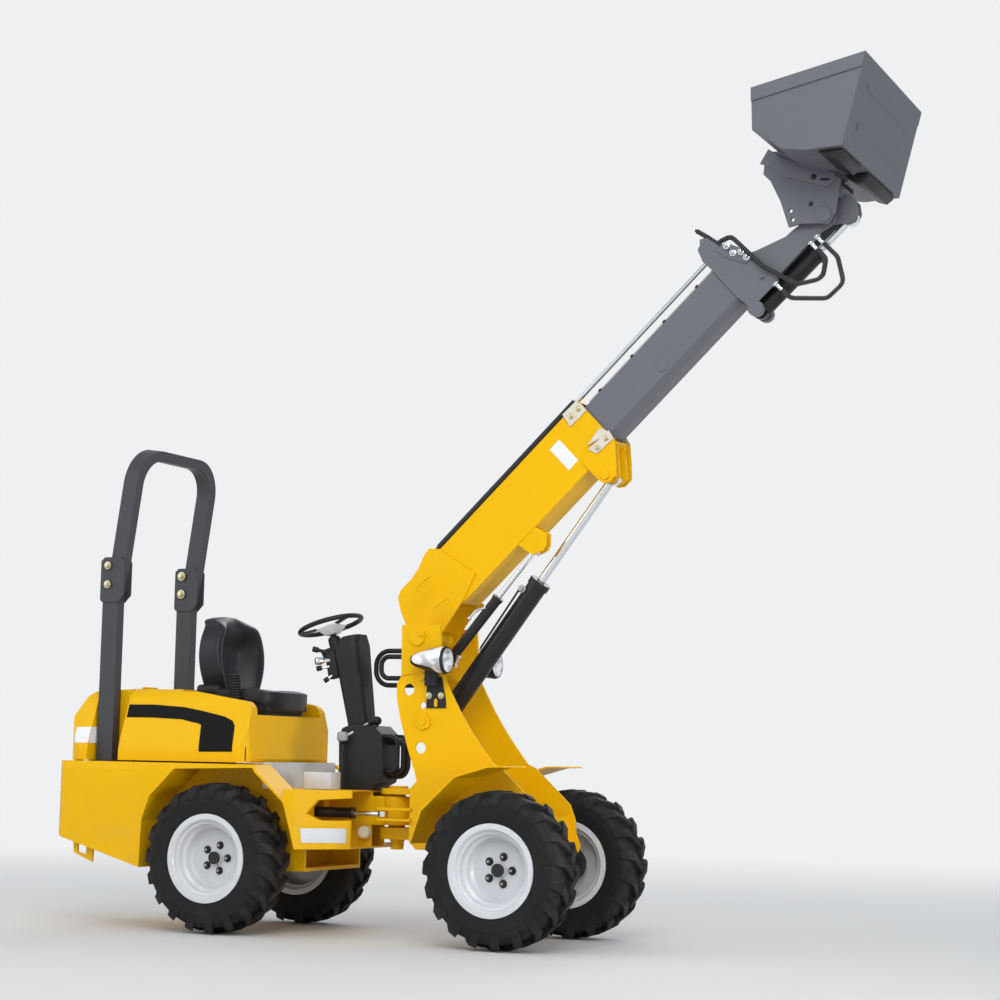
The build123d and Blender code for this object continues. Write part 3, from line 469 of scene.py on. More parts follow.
@dataclass
class Studio:
    """Floor, light and the camera at the photograph's angle."""

    eye: Vector = field(default_factory=lambda: Vector((FRONT_AXLE_X + 4.5388, -10.257, 0.9412)))
    yaw: float = 0.4373
    pitch: float = 0.1166
    roll: float = 0.0200
    focal_px: float = 2184.7
    frame_px: float = 1000.0
    backdrop: Triple = (0.86, 0.87, 0.88)

    def camera(self) -> None:
        """Create the camera."""
        data = bpy.data.cameras.new("camera")
        data.sensor_width = 36.0
        data.lens = self.focal_px / self.frame_px * data.sensor_width
        data.clip_end = 200.0
        onward = Vector((-math.sin(self.yaw) * math.cos(self.pitch),
                         math.cos(self.yaw) * math.cos(self.pitch), math.sin(self.pitch)))
        level = Vector((math.cos(self.yaw), math.sin(self.yaw), 0.0))
        upright = level.cross(onward)
        c, s = math.cos(self.roll), math.sin(self.roll)
        right = level * c + upright * s
        top = upright * c - level * s
        camera = bpy.data.objects.new("camera", data)
        bpy.context.collection.objects.link(camera)
        turn = Matrix((right, top, -onward)).transposed().to_4x4()
        camera.matrix_world = Matrix.Translation(self.eye) @ turn
        bpy.context.scene.camera = camera

    def lights(self) -> None:
        """Create the lamps."""
        lamps = [
            # name, place, size, power, spread in degrees, aim
            ("key", (3.5, -8.5, 7.5), 6.0, 520.0, 180, (0.0, 0.0, 1.5)),
            ("fill", (-7.0, -6.0, 4.5), 6.0, 160.0, 180, (-1.0, 0.0, 1.2)),
            ("back", (-2.0, 8.0, 6.5), 5.0, 200.0, 180, (0.0, 0.0, 1.5)),
            ("front", (7.5, -3.5, 1.6), 1.6, 9.0, 38, (-1.2, 0.0, 0.9)),
        ]
        for name, place, size, power, spread, aim in lamps:
            data = bpy.data.lights.new(name, "AREA")
            data.spread = math.radians(spread)
            data.size = size
            data.energy = power
            lamp = bpy.data.objects.new(name, data)
            bpy.context.collection.objects.link(lamp)
            lamp.location = place
            lamp.rotation_euler = (Vector(aim) - Vector(place)).to_track_quat("-Z", "Y").to_euler()

    def world(self) -> None:
        """Pale surroundings that camera and gloss rays see brighter."""
        world = bpy.data.worlds.new("surroundings")
        bpy.context.scene.world = world
        world.use_nodes = True
        tree = world.node_tree
        path = tree.nodes.new("ShaderNodeLightPath")
        seen = tree.nodes.new("ShaderNodeMath")
        seen.operation = "MAXIMUM"
        tree.links.new(path.outputs["Is Camera Ray"], seen.inputs[0])
        tree.links.new(path.outputs["Is Transmission Ray"], seen.inputs[1])
        mix = tree.nodes.new("ShaderNodeMixShader")
        pale = tree.nodes.new("ShaderNodeBackground")
        pale.inputs[0].default_value = (*self.backdrop, 1.0)
        soft = tree.nodes["Background"]
        soft.inputs[0].default_value = (0.80, 0.85, 0.92, 1.0)
        soft.inputs[1].default_value = 0.72
        tree.links.new(seen.outputs[0], mix.inputs[0])
        tree.links.new(soft.outputs[0], mix.inputs[1])
        tree.links.new(pale.outputs[0], mix.inputs[2])
        tree.links.new(mix.outputs[0], tree.nodes["World Output"].inputs[0])

    def floor(self) -> None:
        """Pale plain floor."""
        bpy.ops.object.select_all(action="DESELECT")
        bpy.ops.mesh.primitive_plane_add(size=90.0, location=(0.0, 0.0, 0.0))
        floor = bpy.context.object
        floor.name = "floor"
        g = Graph("pale_floor")
        g.set(Base_Color=(0.70, 0.69, 0.67), Roughness=0.9)
        across = g.node("ShaderNodeVectorMath", {0: g.place}, output="Value", operation="LENGTH")
        glow = g.node("ShaderNodeEmission", {"Color": self.backdrop, "Strength": 1.0})
        mixed = g.node("ShaderNodeMixShader", {0: across.ramp(3.5, 11.0), 2: glow})
        g.tree.links.new(g.shader.outputs[0], mixed.socket.node.inputs[1])
        g.tree.links.new(mixed.socket, g.tree.nodes["Material Output"].inputs[0])
        floor.data.materials.append(g.material)

    def build(self) -> None:
        """Set up everything round the machine."""
        self.camera()
        self.lights()
        self.world()
        self.floor()
        bpy.context.scene.view_settings.view_transform = "Standard"


def anywhere(place: Vector, normal: Vector) -> bool:
    """Every face or corner."""
    return True


def on_top(place: Vector, normal: Vector) -> bool:
    """Faces that look up."""
    return normal.z > 0.9


@dataclass
class Bench:
    """Hand tools: primitives, edit-mode moves, modifiers and the last touches on a piece."""

    palette: Palette

    @staticmethod
    def clear() -> None:
        """Deselect everything."""
        bpy.ops.object.select_all(action="DESELECT")

    @staticmethod
    def leave() -> None:
        """Go back to object mode."""
        bpy.ops.object.mode_set(mode="OBJECT")

    def settle(self, name: str) -> Piece:
        """Name the active piece and set its place and size into its mesh.

        Args:
            name: the piece's name.

        Returns:
            The active piece, unturned at the origin.
        """
        piece = bpy.context.object
        piece.name = name
        bpy.ops.object.transform_apply(location=True, rotation=True, scale=True)
        return piece

    def block(self, name: str, size: Triple, place: Triple = (0, 0, 0),
              turn: Triple = (0, 0, 0)) -> Piece:
        """Add a block of a size, centred on a place and turned.

        Args:
            name: the block's name.
            size: its length, width and height.
            place: its middle.
            turn: its turn about each axis.

        Returns:
            The block.
        """
        self.clear()
        bpy.ops.mesh.primitive_cube_add(size=1.0, location=place, rotation=turn, scale=size)
        return self.settle(name)

    def drum(self, name: str, radius: float, height: float, sides: int = 24,
             base: float = 0.0) -> Piece:
        """Add an upright cylinder that stands at height base over the origin.

        Args:
            name: the cylinder's name.
            radius: its radius.
            height: its height.
            sides: faces round it.
            base: height of its lower end.

        Returns:
            The cylinder.
        """
        self.clear()
        bpy.ops.mesh.primitive_cylinder_add(vertices=sides, radius=radius, depth=height,
                                            location=(0, 0, base + height / 2))
        return self.settle(name)

    def select(self, piece: Piece, kind: str, test: Test) -> None:
        """Enter edit mode with the faces or vertices selected that pass a test.

        Args:
            piece: the mesh to edit.
            kind: FACE or VERT.
            test: takes the place and normal of a face or vertex, and says whether to select it.
        """
        self.clear()
        piece.select_set(True)
        bpy.context.view_layer.objects.active = piece
        bpy.ops.object.mode_set(mode="EDIT")
        bpy.ops.mesh.select_mode(type=kind)
        bpy.ops.mesh.select_all(action="DESELECT")
        self.leave()
        if kind == "FACE":
            for face in piece.data.polygons:
                face.select = bool(test(face.center, face.normal))
        else:
            for corner in piece.data.vertices:
                corner.select = bool(test(corner.co, corner.normal))
        bpy.ops.object.mode_set(mode="EDIT")

    def push(self, piece: Piece, test: Test, offset: Triple) -> None:
        """Move the vertices that pass a test.

        Args:
            piece: the mesh to change.
            test: says which vertices to move.
            offset: how far they move.
        """
        self.select(piece, "VERT", test)
        bpy.ops.transform.translate(value=offset)
        self.leave()

    def rim(self, piece: Piece, test: Test, thickness: float, depth: float) -> None:
        """Inset the faces that pass a test and move the middle along their normals.

        Args:
            piece: the mesh to change.
            test: says which faces to inset.
            thickness: width of the rim.
            depth: how far the middle moves.
        """
        self.select(piece, "FACE", test)
        bpy.ops.mesh.inset(thickness=thickness, depth=depth)
        self.leave()

    def scale(self, piece: Piece, test: Test, factors: Triple, centre: Triple) -> None:
        """Scale the vertices that pass a test about a centre.

        Args:
            piece: the mesh to change.
            test: says which vertices to move.
            factors: scale along each axis.
            centre: the point that stays.
        """
        self.select(piece, "VERT", test)
        bpy.ops.transform.resize(value=factors, center_override=centre)
        self.leave()

    def plate(self, name: str, outline: list[Vector], thickness: Vector,
              bevel: float = 0.001) -> Piece:
        """Cut a plate to an outline and give it its thickness.

        Args:
            name: the plate's name.
            outline: its corners in order.
            thickness: from this face to the other.
            bevel: width of its edges' bevel.

        Returns:
            The plate.
        """
        self.clear()
        bpy.ops.mesh.primitive_circle_add(vertices=len(outline), fill_type="NGON")
        piece = self.settle(name)
        for corner, place in zip(piece.data.vertices, outline):
            corner.co = place
        self.select(piece, "FACE", anywhere)
        bpy.ops.mesh.extrude_region_move(TRANSFORM_OT_translate={"value": thickness})
        self.leave()
        self.soften(piece, bevel)
        return piece

    def pill(self, name: str, length: float, width: float, height: float) -> Piece:
        """Cut a plate with round ends along X, lying on the origin.

        Args:
            name: the plate's name.
            length: its length over the ends.
            width: its width.
            height: its thickness.

        Returns:
            The plate.
        """
        outline = []
        for end in (1, -1):
            for step in range(9):
                angle = math.pi * (step / 8 - 0.5) + (0 if end > 0 else math.pi)
                outline.append(Vector((end * (length - width) / 2 + width / 2 * math.cos(angle),
                                       width / 2 * math.sin(angle), 0.0)))
        return self.plate(name, outline, Vector((0, 0, height)), height * 0.25)

    def cut_up(self, piece: Piece, cuts: int) -> None:
        """Subdivide all faces.

        Args:
            piece: the mesh to change.
            cuts: cuts across each face.
        """
        self.select(piece, "FACE", anywhere)
        bpy.ops.mesh.subdivide(number_cuts=cuts)
        self.leave()

    def modify(self, piece: Piece, kind: str, **settings) -> None:
        """Add a modifier and apply it.

        Args:
            piece: the mesh to change.
            kind: the modifier's type.
            settings: its properties.
        """
        self.clear()
        piece.select_set(True)
        bpy.context.view_layer.objects.active = piece
        modifier = piece.modifiers.new(kind.lower(), kind)
        for key, value in settings.items():
            setattr(modifier, key, value)
        bpy.ops.object.modifier_apply(modifier=modifier.name)

    def soften(self, piece: Piece, width: float, segments: int = 2) -> None:
        """Bevel the sharp edges."""
        self.modify(piece, "BEVEL", width=width, segments=segments, limit_method="ANGLE")

    def smooth_out(self, piece: Piece, levels: int = 2) -> None:
        """Subdivide into a smooth surface."""
        self.modify(piece, "SUBSURF", levels=levels, render_levels=levels)

    def join(self, pieces: list[Piece]) -> Piece:
        """Join pieces into the first of them.

        Args:
            pieces: the pieces, selected when done.

        Returns:
            The joined piece.
        """
        self.clear()
        for piece in pieces:
            piece.select_set(True)
        bpy.context.view_layer.objects.active = pieces[0]
        if len(pieces) > 1:
            bpy.ops.object.join()
        return pieces[0]

    def repeat(self, piece: Piece, places: list[Matrix]) -> Piece:
        """Copy a piece, each with its own mesh, to every place and join the copies.

        Args:
            piece: the piece made once at the origin, which is used up.
            places: where each copy goes.

        Returns:
            The joined copies.
        """
        name = piece.name
        made = []
        for place in places:
            copy = piece.copy()
            copy.data = piece.data.copy()
            bpy.context.collection.objects.link(copy)
            copy.matrix_world = place
            made.append(copy)
        bpy.data.objects.remove(piece)
        self.join(made)
        return self.settle(name)

    def tube(self, name: str, route: list[Vector], radius: float) -> Piece:
        """Sweep a round tube along a route and turn it into a mesh.

        Args:
            name: the tube's name.
            route: points along its middle.
            radius: its radius.

        Returns:
            The tube.
        """
        self.clear()
        bpy.ops.curve.primitive_nurbs_path_add(location=(0, 0, 0))
        path = bpy.context.object
        path.data.splines.clear()
        line = path.data.splines.new("POLY")
        line.points.add(len(route) - 1)
        for point, place in zip(line.points, route):
            point.co = (*place, 1.0)
        path.data.dimensions = "3D"
        path.data.bevel_depth = radius
        path.data.bevel_resolution = 3
        path.data.use_fill_caps = True
        bpy.ops.object.convert(target="MESH")
        return self.settle(name)

    def bolt(self, name: str, radius: float, height: float) -> Piece:
        """Model a hexagon head on its washer, standing on the origin.

        Args:
            name: the bolt's name.
            radius: from its middle to a corner.
            height: height of the head.

        Returns:
            The bolt head with its washer.
        """
        washer = self.drum(name + "_washer", radius * 1.45, height * 0.28)
        head = self.drum(name, radius, height, 6, height * 0.25)
        self.rim(head, on_top, radius * 0.14, height * 0.08)
        bolt = self.join([head, washer])
        self.soften(bolt, radius * 0.09)
        return bolt

    def dress(self, piece: Piece, body: str, finish: Finish, angle: float = 35.0) -> None:
        """Turn the normals outward, shade, finish and mount a piece.

        Args:
            piece: the finished mesh.
            body: the moving body that carries it.
            finish: its finish.
            angle: edges sharper than this stay sharp, in degrees.
        """
        self.select(piece, "FACE", anywhere)
        bpy.ops.mesh.normals_make_consistent(inside=False)
        self.leave()
        bpy.ops.object.shade_smooth_by_angle(angle=math.radians(angle))
        self.palette.dress(piece, finish)
        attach(piece, body)
        LOG.info("built %s, %d faces", piece.name, len(piece.data.polygons))

    def mount(self, piece: Piece, places: list[Matrix], body: str, finish: Finish,
              angle: float = 35.0) -> None:
        """Copy a piece to its places and dress the copies, as dress does."""
        self.dress(self.repeat(piece, places), body, finish, angle)


def ahead(x: float, y: float, z: float) -> Vector:
    """Point at x ahead of the front axle, y to the left and z up, in metres."""
    return Vector((FRONT_AXLE_X + x, y, z))


def from_rear(x: float, y: float, z: float) -> Vector:
    """Point at x ahead of the rear axle, y to the left and z up, in metres."""
    return Vector((REAR_AXLE_X + x, y, z))


def facing(place: Vector, normal: Triple) -> Matrix:
    """Place that turns a piece's upward axis along a normal."""
    turn = Vector(normal).to_track_quat("Z", "Y").to_matrix().to_4x4()
    return Matrix.Translation(place) @ turn


def both_ends(route: list[Vector]) -> list[Matrix]:
    """Places at the two ends of a route that face along it."""
    return [facing(end, nearest - end) for end, nearest in (route[:2], route[:-3:-1])]


def on_side(place: Vector, hand: int, tilt: float) -> Matrix:
    """Place that lays a plate flat on a side, its length tilted down from level."""
    return (Matrix.Translation(place) @ Matrix.Rotation(tilt, 4, "Y")
            @ Matrix.Rotation(-hand * math.pi / 2, 4, "X"))


def both_sides(spots: Pairs, half: float, way: int = 1, boom: bool = False) -> list[Matrix]:
    """Places on the left and right sides for every spot.

    Args:
        spots: distance ahead and height of each, or u and v on the boom.
        half: distance of the side from the middle.
        way: 1 to face outward and -1 inward.
        boom: whether the spots are measured on the boom.

    Returns:
        A place on each side of every spot.
    """
    return [facing(from_boom(a, b, hand * half) if boom else ahead(a, hand * half, b),
                   (0, way * hand, 0)) for a, b in spots for _, hand in SIDES]


def rounded_route(corners: list[Vector], bend: float, step: float = 0.25) -> list[Vector]:
    """Route along straight runs with an arc at each corner.

    Args:
        corners: the ends and corners.
        bend: radius of every arc.
        step: angle between points on an arc, in radians.

    Returns:
        Points along the route.
    """
    route = [corners[0]]
    for before, corner, after in zip(corners, corners[1:], corners[2:]):
        inward = (corner - before).normalized()
        outward = (after - corner).normalized()
        turn = inward.angle(outward)
        if turn < 0.01:
            continue
        start = corner - inward * bend * math.tan(turn / 2)
        across = (outward - inward * math.cos(turn)).normalized()
        count = max(2, round(turn / step))
        for index in range(count + 1):
            angle = turn * index / count
            route.append(start + across * bend * (1 - math.cos(angle))
                         + inward * bend * math.sin(angle))
    return route + [corners[-1]]


def spaced(route: list[Vector], gap: float) -> list[tuple[Vector, Vector]]:
    """Places and directions at an even gap along a route.

    Args:
        route: points along the route.
        gap: distance between places.

    Returns:
        Each place with the direction of the route there.
    """
    found = []
    left = 0.0
    for here, there in zip(route, route[1:]):
        span = (there - here).length
        along = (there - here).normalized()
        while left <= span:
            found.append((here + along * left, along))
            left += gap
        left -= span
    return found


@dataclass
class WheelTrim(Bench):
    """Nuts, hub cap and valve of each wheel."""

    half_track: float = 0.459
    disc_out: float = 0.008
    hub_out: float = 0.026
    stud_count: int = 5
    stud_circle: float = 0.068
    stud_radius: float = 0.0065
    stud_height: float = 0.022
    nut_radius: float = 0.0145
    nut_height: float = 0.0135
    cap_radius: float = 0.033
    cap_height: float = 0.012
    valve_circle: float = 0.146
    valve_angle: float = math.radians(47.0)
    valve_radius: float = 0.0065
    valve_length: float = 0.036
    collar_radius: float = 0.0120
    collar_length: float = 0.016

    def nuts(self, name: str, centre: Vector, hand: int) -> None:
        """Put black nuts and bright stud ends on the stud circle.

        Args:
            name: the wheel, as its end and side of the machine.
            centre: middle of the disc's outer face.
            hand: 1 for the left side and -1 for the right.
        """
        nut = self.bolt(f"nuts_{name}", self.nut_radius, self.nut_height)
        stud = self.drum(f"studs_{name}", self.stud_radius, self.stud_height, 16)
        self.soften(stud, 0.001)
        places = []
        for index in range(self.stud_count):
            angle = math.tau * index / self.stud_count
            offset = Vector((math.cos(angle), 0.0, -hand * math.sin(angle))) * self.stud_circle
            places.append(facing(centre + offset, (0, hand, 0)))
        self.mount(nut, places, f"wheel_{name}", Finish.BLACK)
        self.mount(stud, places, f"wheel_{name}", Finish.STEEL)

    def cap(self, name: str, centre: Vector, hand: int) -> None:
        """Put the black cap on the hub.

        Args:
            name: the wheel, as its end and side of the machine.
            centre: middle of the disc's outer face.
            hand: 1 for the left side and -1 for the right.
        """
        cap = self.drum(f"hub_cap_{name}", self.cap_radius, self.cap_height, 40)
        self.rim(cap, on_top, 0.006, 0.0)
        self.rim(cap, lambda place, normal: normal.z > 0.9 and place.length < 0.02, 0.003, -0.003)
        self.soften(cap, 0.002, 3)
        place = facing(centre + Vector((0, hand * (self.hub_out - self.disc_out), 0)), (0, hand, 0))
        self.mount(cap, [place], f"wheel_{name}", Finish.BLACK)

    def valve(self, name: str, centre: Vector, hand: int) -> None:
        """Put the valve stem through the rim.

        Args:
            name: the wheel, as its end and side of the machine.
            centre: middle of the disc's outer face.
            hand: 1 for the left side and -1 for the right.
        """
        stem = self.drum(f"valve_{name}", self.valve_radius, self.valve_length, 12)
        collar = self.drum(f"valve_collar_{name}", self.collar_radius, self.collar_length, 12)
        valve = self.join([stem, collar])
        self.soften(valve, 0.001)
        angle = self.valve_angle
        offset = Vector((math.cos(angle), 0.0, math.sin(angle))) * self.valve_circle
        place = facing(centre + offset + Vector((0, hand * 0.004, 0)), (0, hand, 0))
        self.mount(valve, [place], f"wheel_{name}", Finish.SHEET)

    def build(self) -> None:
        """Build all four wheels' trim."""
        for name, axle_x in (("front", FRONT_AXLE_X), ("rear", REAR_AXLE_X)):
            for side, hand in SIDES:
                face = hand * (self.half_track + self.disc_out)
                centre = Vector((axle_x, face, AXLE_HEIGHT))
                self.nuts(f"{name}_{side}", centre, hand)
                self.cap(f"{name}_{side}", centre, hand)
                self.valve(f"{name}_{side}", centre, hand)


@dataclass
class SeatPads(Bench):
    """Moulded seat: dished cushion, wrap-round back, the pan below and the bellows."""

    half: float = 0.228
    low: float = 1.187
    high: float = 1.270
    rear: float = -0.326
    front: float = 0.166
    back_foot: Triple = (-0.262, 0.0, 1.206)
    back_height: float = 0.462
    back_thickness: float = 0.062
    back_widths: tuple[float, ...] = (0.66, 0.82, 0.96, 1.06, 1.10, 1.07, 0.98, 0.80, 0.50)
    lean: float = math.radians(3.0)
    pan_size: Triple = (0.420, 0.430, 0.056)
    pan_place: Triple = (-0.093, 0.0, 1.166)
    recliner_size: Triple = (0.150, 0.050, 0.062)
    recliner_place: Triple = (-0.245, -0.205, 1.262)
    boot_radius: float = 0.034
    boot_place: Triple = (-0.058, -0.236, 1.205)
    boot_step: Triple = (-0.0016, 0.0, 0.0145)
    rib_height: float = 0.014
    rib_count: int = 10

    def cushion(self) -> Piece:
        """Model the cushion, dished between raised sides and rolled over at the front.

        Returns:
            The cushion.
        """
        size = (self.front - self.rear, 2 * self.half, self.high - self.low)
        middle = from_rear((self.front + self.rear) / 2, 0.0, (self.high + self.low) / 2)
        front = REAR_AXLE_X + self.front
        pad = self.block("seat_cushion", size, middle)
        self.cut_up(pad, 5)
        top, bottom = self.high - 0.001, self.low + 0.001
        moves = (
            # the dish and the raised sides
            (lambda p, n: p.z > top and abs(p.y) < 0.1 and -0.40 < p.x - front < -0.12,
             (0, 0, -0.026)),
            (lambda p, n: p.z > top and 0.1 < abs(p.y) < 0.2 and p.x < front - 0.1, (0, 0, 0.008)),
            # the rolled front edge, above and below
            (lambda p, n: p.z > top and p.x > front - 0.01, (-0.006, 0, -0.016)),
            (lambda p, n: p.z < bottom and p.x > front - 0.01, (-0.006, 0, -0.034)),
            (lambda p, n: p.z < bottom and p.x > front - 0.12 and abs(p.y) < 0.2, (0, 0, -0.008)),
            # the front corners, seen from above
            (lambda p, n: p.x > front - 0.04 and abs(p.y) > 0.2, (-0.050, 0, 0)),
            (lambda p, n: p.x > front - 0.04 and 0.1 < abs(p.y) < 0.2, (-0.012, 0, 0)),
        )
        for test, offset in moves:
            self.push(pad, test, offset)
        self.scale(pad, lambda p, n: p.z < bottom, (0.96, 0.93, 1.0), middle)
        self.smooth_out(pad, 2)
        return pad

    def back(self) -> Piece:
        """Model the back, hollow between bolsters that meet in a roll round the top.

        Returns:
            The back.
        """
        foot = Vector(self.back_foot) + Vector((REAR_AXLE_X, 0, 0))
        size = (self.back_thickness, 2 * self.half, self.back_height)
        pad = self.block("seat_back", size, foot + Vector((-0.012, 0, size[2] / 2)))
        self.cut_up(pad, 7)
        face, rear = foot.x + 0.018, foot.x - 0.042
        row = self.back_height / 8
        top = foot.z + self.back_height
        moves = (
            # the bolsters, from their crest round to the rear
            (lambda p, n: p.x > face and 0.15 < abs(p.y) < 0.2 and p.z < top - 0.5 * row,
             (0.092, 0, 0)),
            (lambda p, n: p.x > face and abs(p.y) > 0.2, (0.084, 0, 0)),
            (lambda p, n: face - 0.05 < p.x < face and abs(p.y) > 0.2, (0.062, 0, 0)),
            (lambda p, n: p.x < rear and abs(p.y) > 0.2, (0.046, 0, 0)),
            # the slope from the bolsters into the hollow, and the hollow
            (lambda p, n: p.x > face and 0.08 < abs(p.y) < 0.13, (0.014, 0, 0)),
            (lambda p, n: face - 0.004 < p.x < face + 0.02 and abs(p.y) < 0.15
             and foot.z + row / 2 < p.z < top - 2.5 * row, (-0.036, 0, 0)),
            # the roll round the top, and the rounded upper corners
            (lambda p, n: p.x > face and abs(p.y) < 0.15 and p.z > top - 1.5 * row, (0.040, 0, 0)),
            (lambda p, n: p.z > top - 0.5 * row and p.x > face + 0.02, (-0.030, 0, 0)),
            (lambda p, n: p.z > top - 0.5 * row and 0.15 < abs(p.y) < 0.2, (0, 0, -0.020)),
            (lambda p, n: p.z > top - 0.5 * row and abs(p.y) > 0.2, (0, 0, -0.045)),
        )
        for test, offset in moves:
            self.push(pad, test, offset)
        for index, share in enumerate(self.back_widths):
            level = foot.z + index * row
            self.scale(pad, lambda p, n: abs(p.z - level) < row * 0.3, (1, share, 1), foot)
        self.smooth_out(pad, 2)
        self.select(pad, "FACE", anywhere)
        bpy.ops.transform.rotate(value=self.lean, orient_axis="Y", center_override=foot)
        self.leave()
        return pad

    def pan(self) -> None:
        """Model the plastic pan below the cushion and the cover of the recliner."""
        middle = from_rear(*self.pan_place)
        pan = self.block("seat_pan", self.pan_size, middle)
        self.scale(pan, lambda p, n: p.z < middle.z, (0.94, 0.93, 1.0), middle)
        self.soften(pan, 0.018, 4)
        cover = self.block("recliner_cover", self.recliner_size, from_rear(*self.recliner_place))
        self.soften(cover, 0.022, 4)
        self.dress(self.join([pan, cover]), "hood", Finish.PLASTIC, 50)

    def bellows(self) -> None:
        """Model the ribbed boot at the near side of the seat."""
        rib = self.drum("seat_boot", self.boot_radius, self.rib_height, 28)
        self.soften(rib, 0.006, 3)
        foot, step = from_rear(*self.boot_place), Vector(self.boot_step)
        places = [Matrix.Translation(foot + step * row) for row in range(self.rib_count)]
        self.mount(rib, places, "hood", Finish.PLASTIC, 50)

    def build(self) -> None:
        """Build the pads in place of the plain seat."""
        seat = self.join([self.cushion(), self.back()])
        seat.name = "seat_pads"
        self.dress(seat, "hood", Finish.VINYL, 60)
        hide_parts("seat")
        self.pan()
        self.bellows()


@dataclass
class Decals(Bench):
    """Stripes and blank labels, laid on the painted sheets."""

    lift: float = 0.0022
    thickness: float = 0.0008
    fineness: int = 14

    def lay(self, name: str, node: str, body: str, finish: Finish,
            upper: list[tuple[float, float]], lower: list[tuple[float, float]], hand: int) -> None:
        """Lay one sheet on the side of a node.

        Args:
            name: the sheet's name.
            node: the CAD node that it lies on.
            body: the body that carries it.
            finish: its finish.
            upper: places along its upper edge, ahead of the front axle and up.
            lower: as many places along its lower edge.
            hand: 1 for the left side and -1 for the right.
        """
        self.clear()
        rows = self.fineness
        columns = (len(upper) - 1) * self.fineness
        bpy.ops.mesh.primitive_grid_add(x_subdivisions=columns, y_subdivisions=rows, size=2.0)
        sheet = self.settle(name)
        for corner in sheet.data.vertices:
            along = (corner.co.x + 1) / 2 * (len(upper) - 1)
            share = (corner.co.y + 1) / 2
            index = min(int(along + 1e-6), len(upper) - 2)
            part = along - index
            ends = [Vector(edge[index]).lerp(Vector(edge[index + 1]), part)
                    for edge in (lower, upper)]
            spot = ends[0].lerp(ends[1], share)
            corner.co = ahead(spot.x, hand * 0.52, spot.y)
        self.modify(sheet, "SHRINKWRAP", target=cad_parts[node],
                    wrap_method="PROJECT", wrap_mode="ABOVE_SURFACE", use_project_y=True,
                    use_negative_direction=True, use_positive_direction=True, offset=self.lift)
        self.modify(sheet, "SOLIDIFY", thickness=self.thickness)
        self.dress(sheet, body, finish, 40)

    def build(self) -> None:
        """Lay the hood's stripes and number panels, the cowl's labels and the neck's plate."""
        for side, hand in SIDES:
            self.lay(f"hood_stripe_{side}", "seat_hood", "hood", Finish.STRIPE,
                     [(-2.255, 1.177), (-2.09, 1.177), (-1.90, 1.165), (-1.777, 1.145),
                      (-1.640, 1.118), (-1.585, 1.096), (-1.566, 1.070)],
                     [(-2.255, 1.108), (-2.09, 1.108), (-1.90, 1.100), (-1.837, 1.087),
                      (-1.795, 1.080), (-1.774, 1.072), (-1.770, 1.040)], hand)
            self.lay(f"number_panel_{side}", "seat_hood", "hood", Finish.STRIPE,
                     [(-1.770, 1.040), (-1.566, 1.070)], [(-1.756, 0.932), (-1.552, 0.935)], hand)
            self.lay(f"cowl_label_{side}", "rear_cowl", "rear_frame", Finish.WHITE,
                     [(-2.56, 1.052), (-2.428, 1.054)], [(-2.56, 0.966), (-2.428, 0.968)], hand)
        self.lay("neck_plate", "rear_neck", "rear_frame", Finish.SHEET,
                 [(-1.096, 0.556), (-0.940, 0.556)], [(-1.092, 0.484), (-0.940, 0.482)], -1)


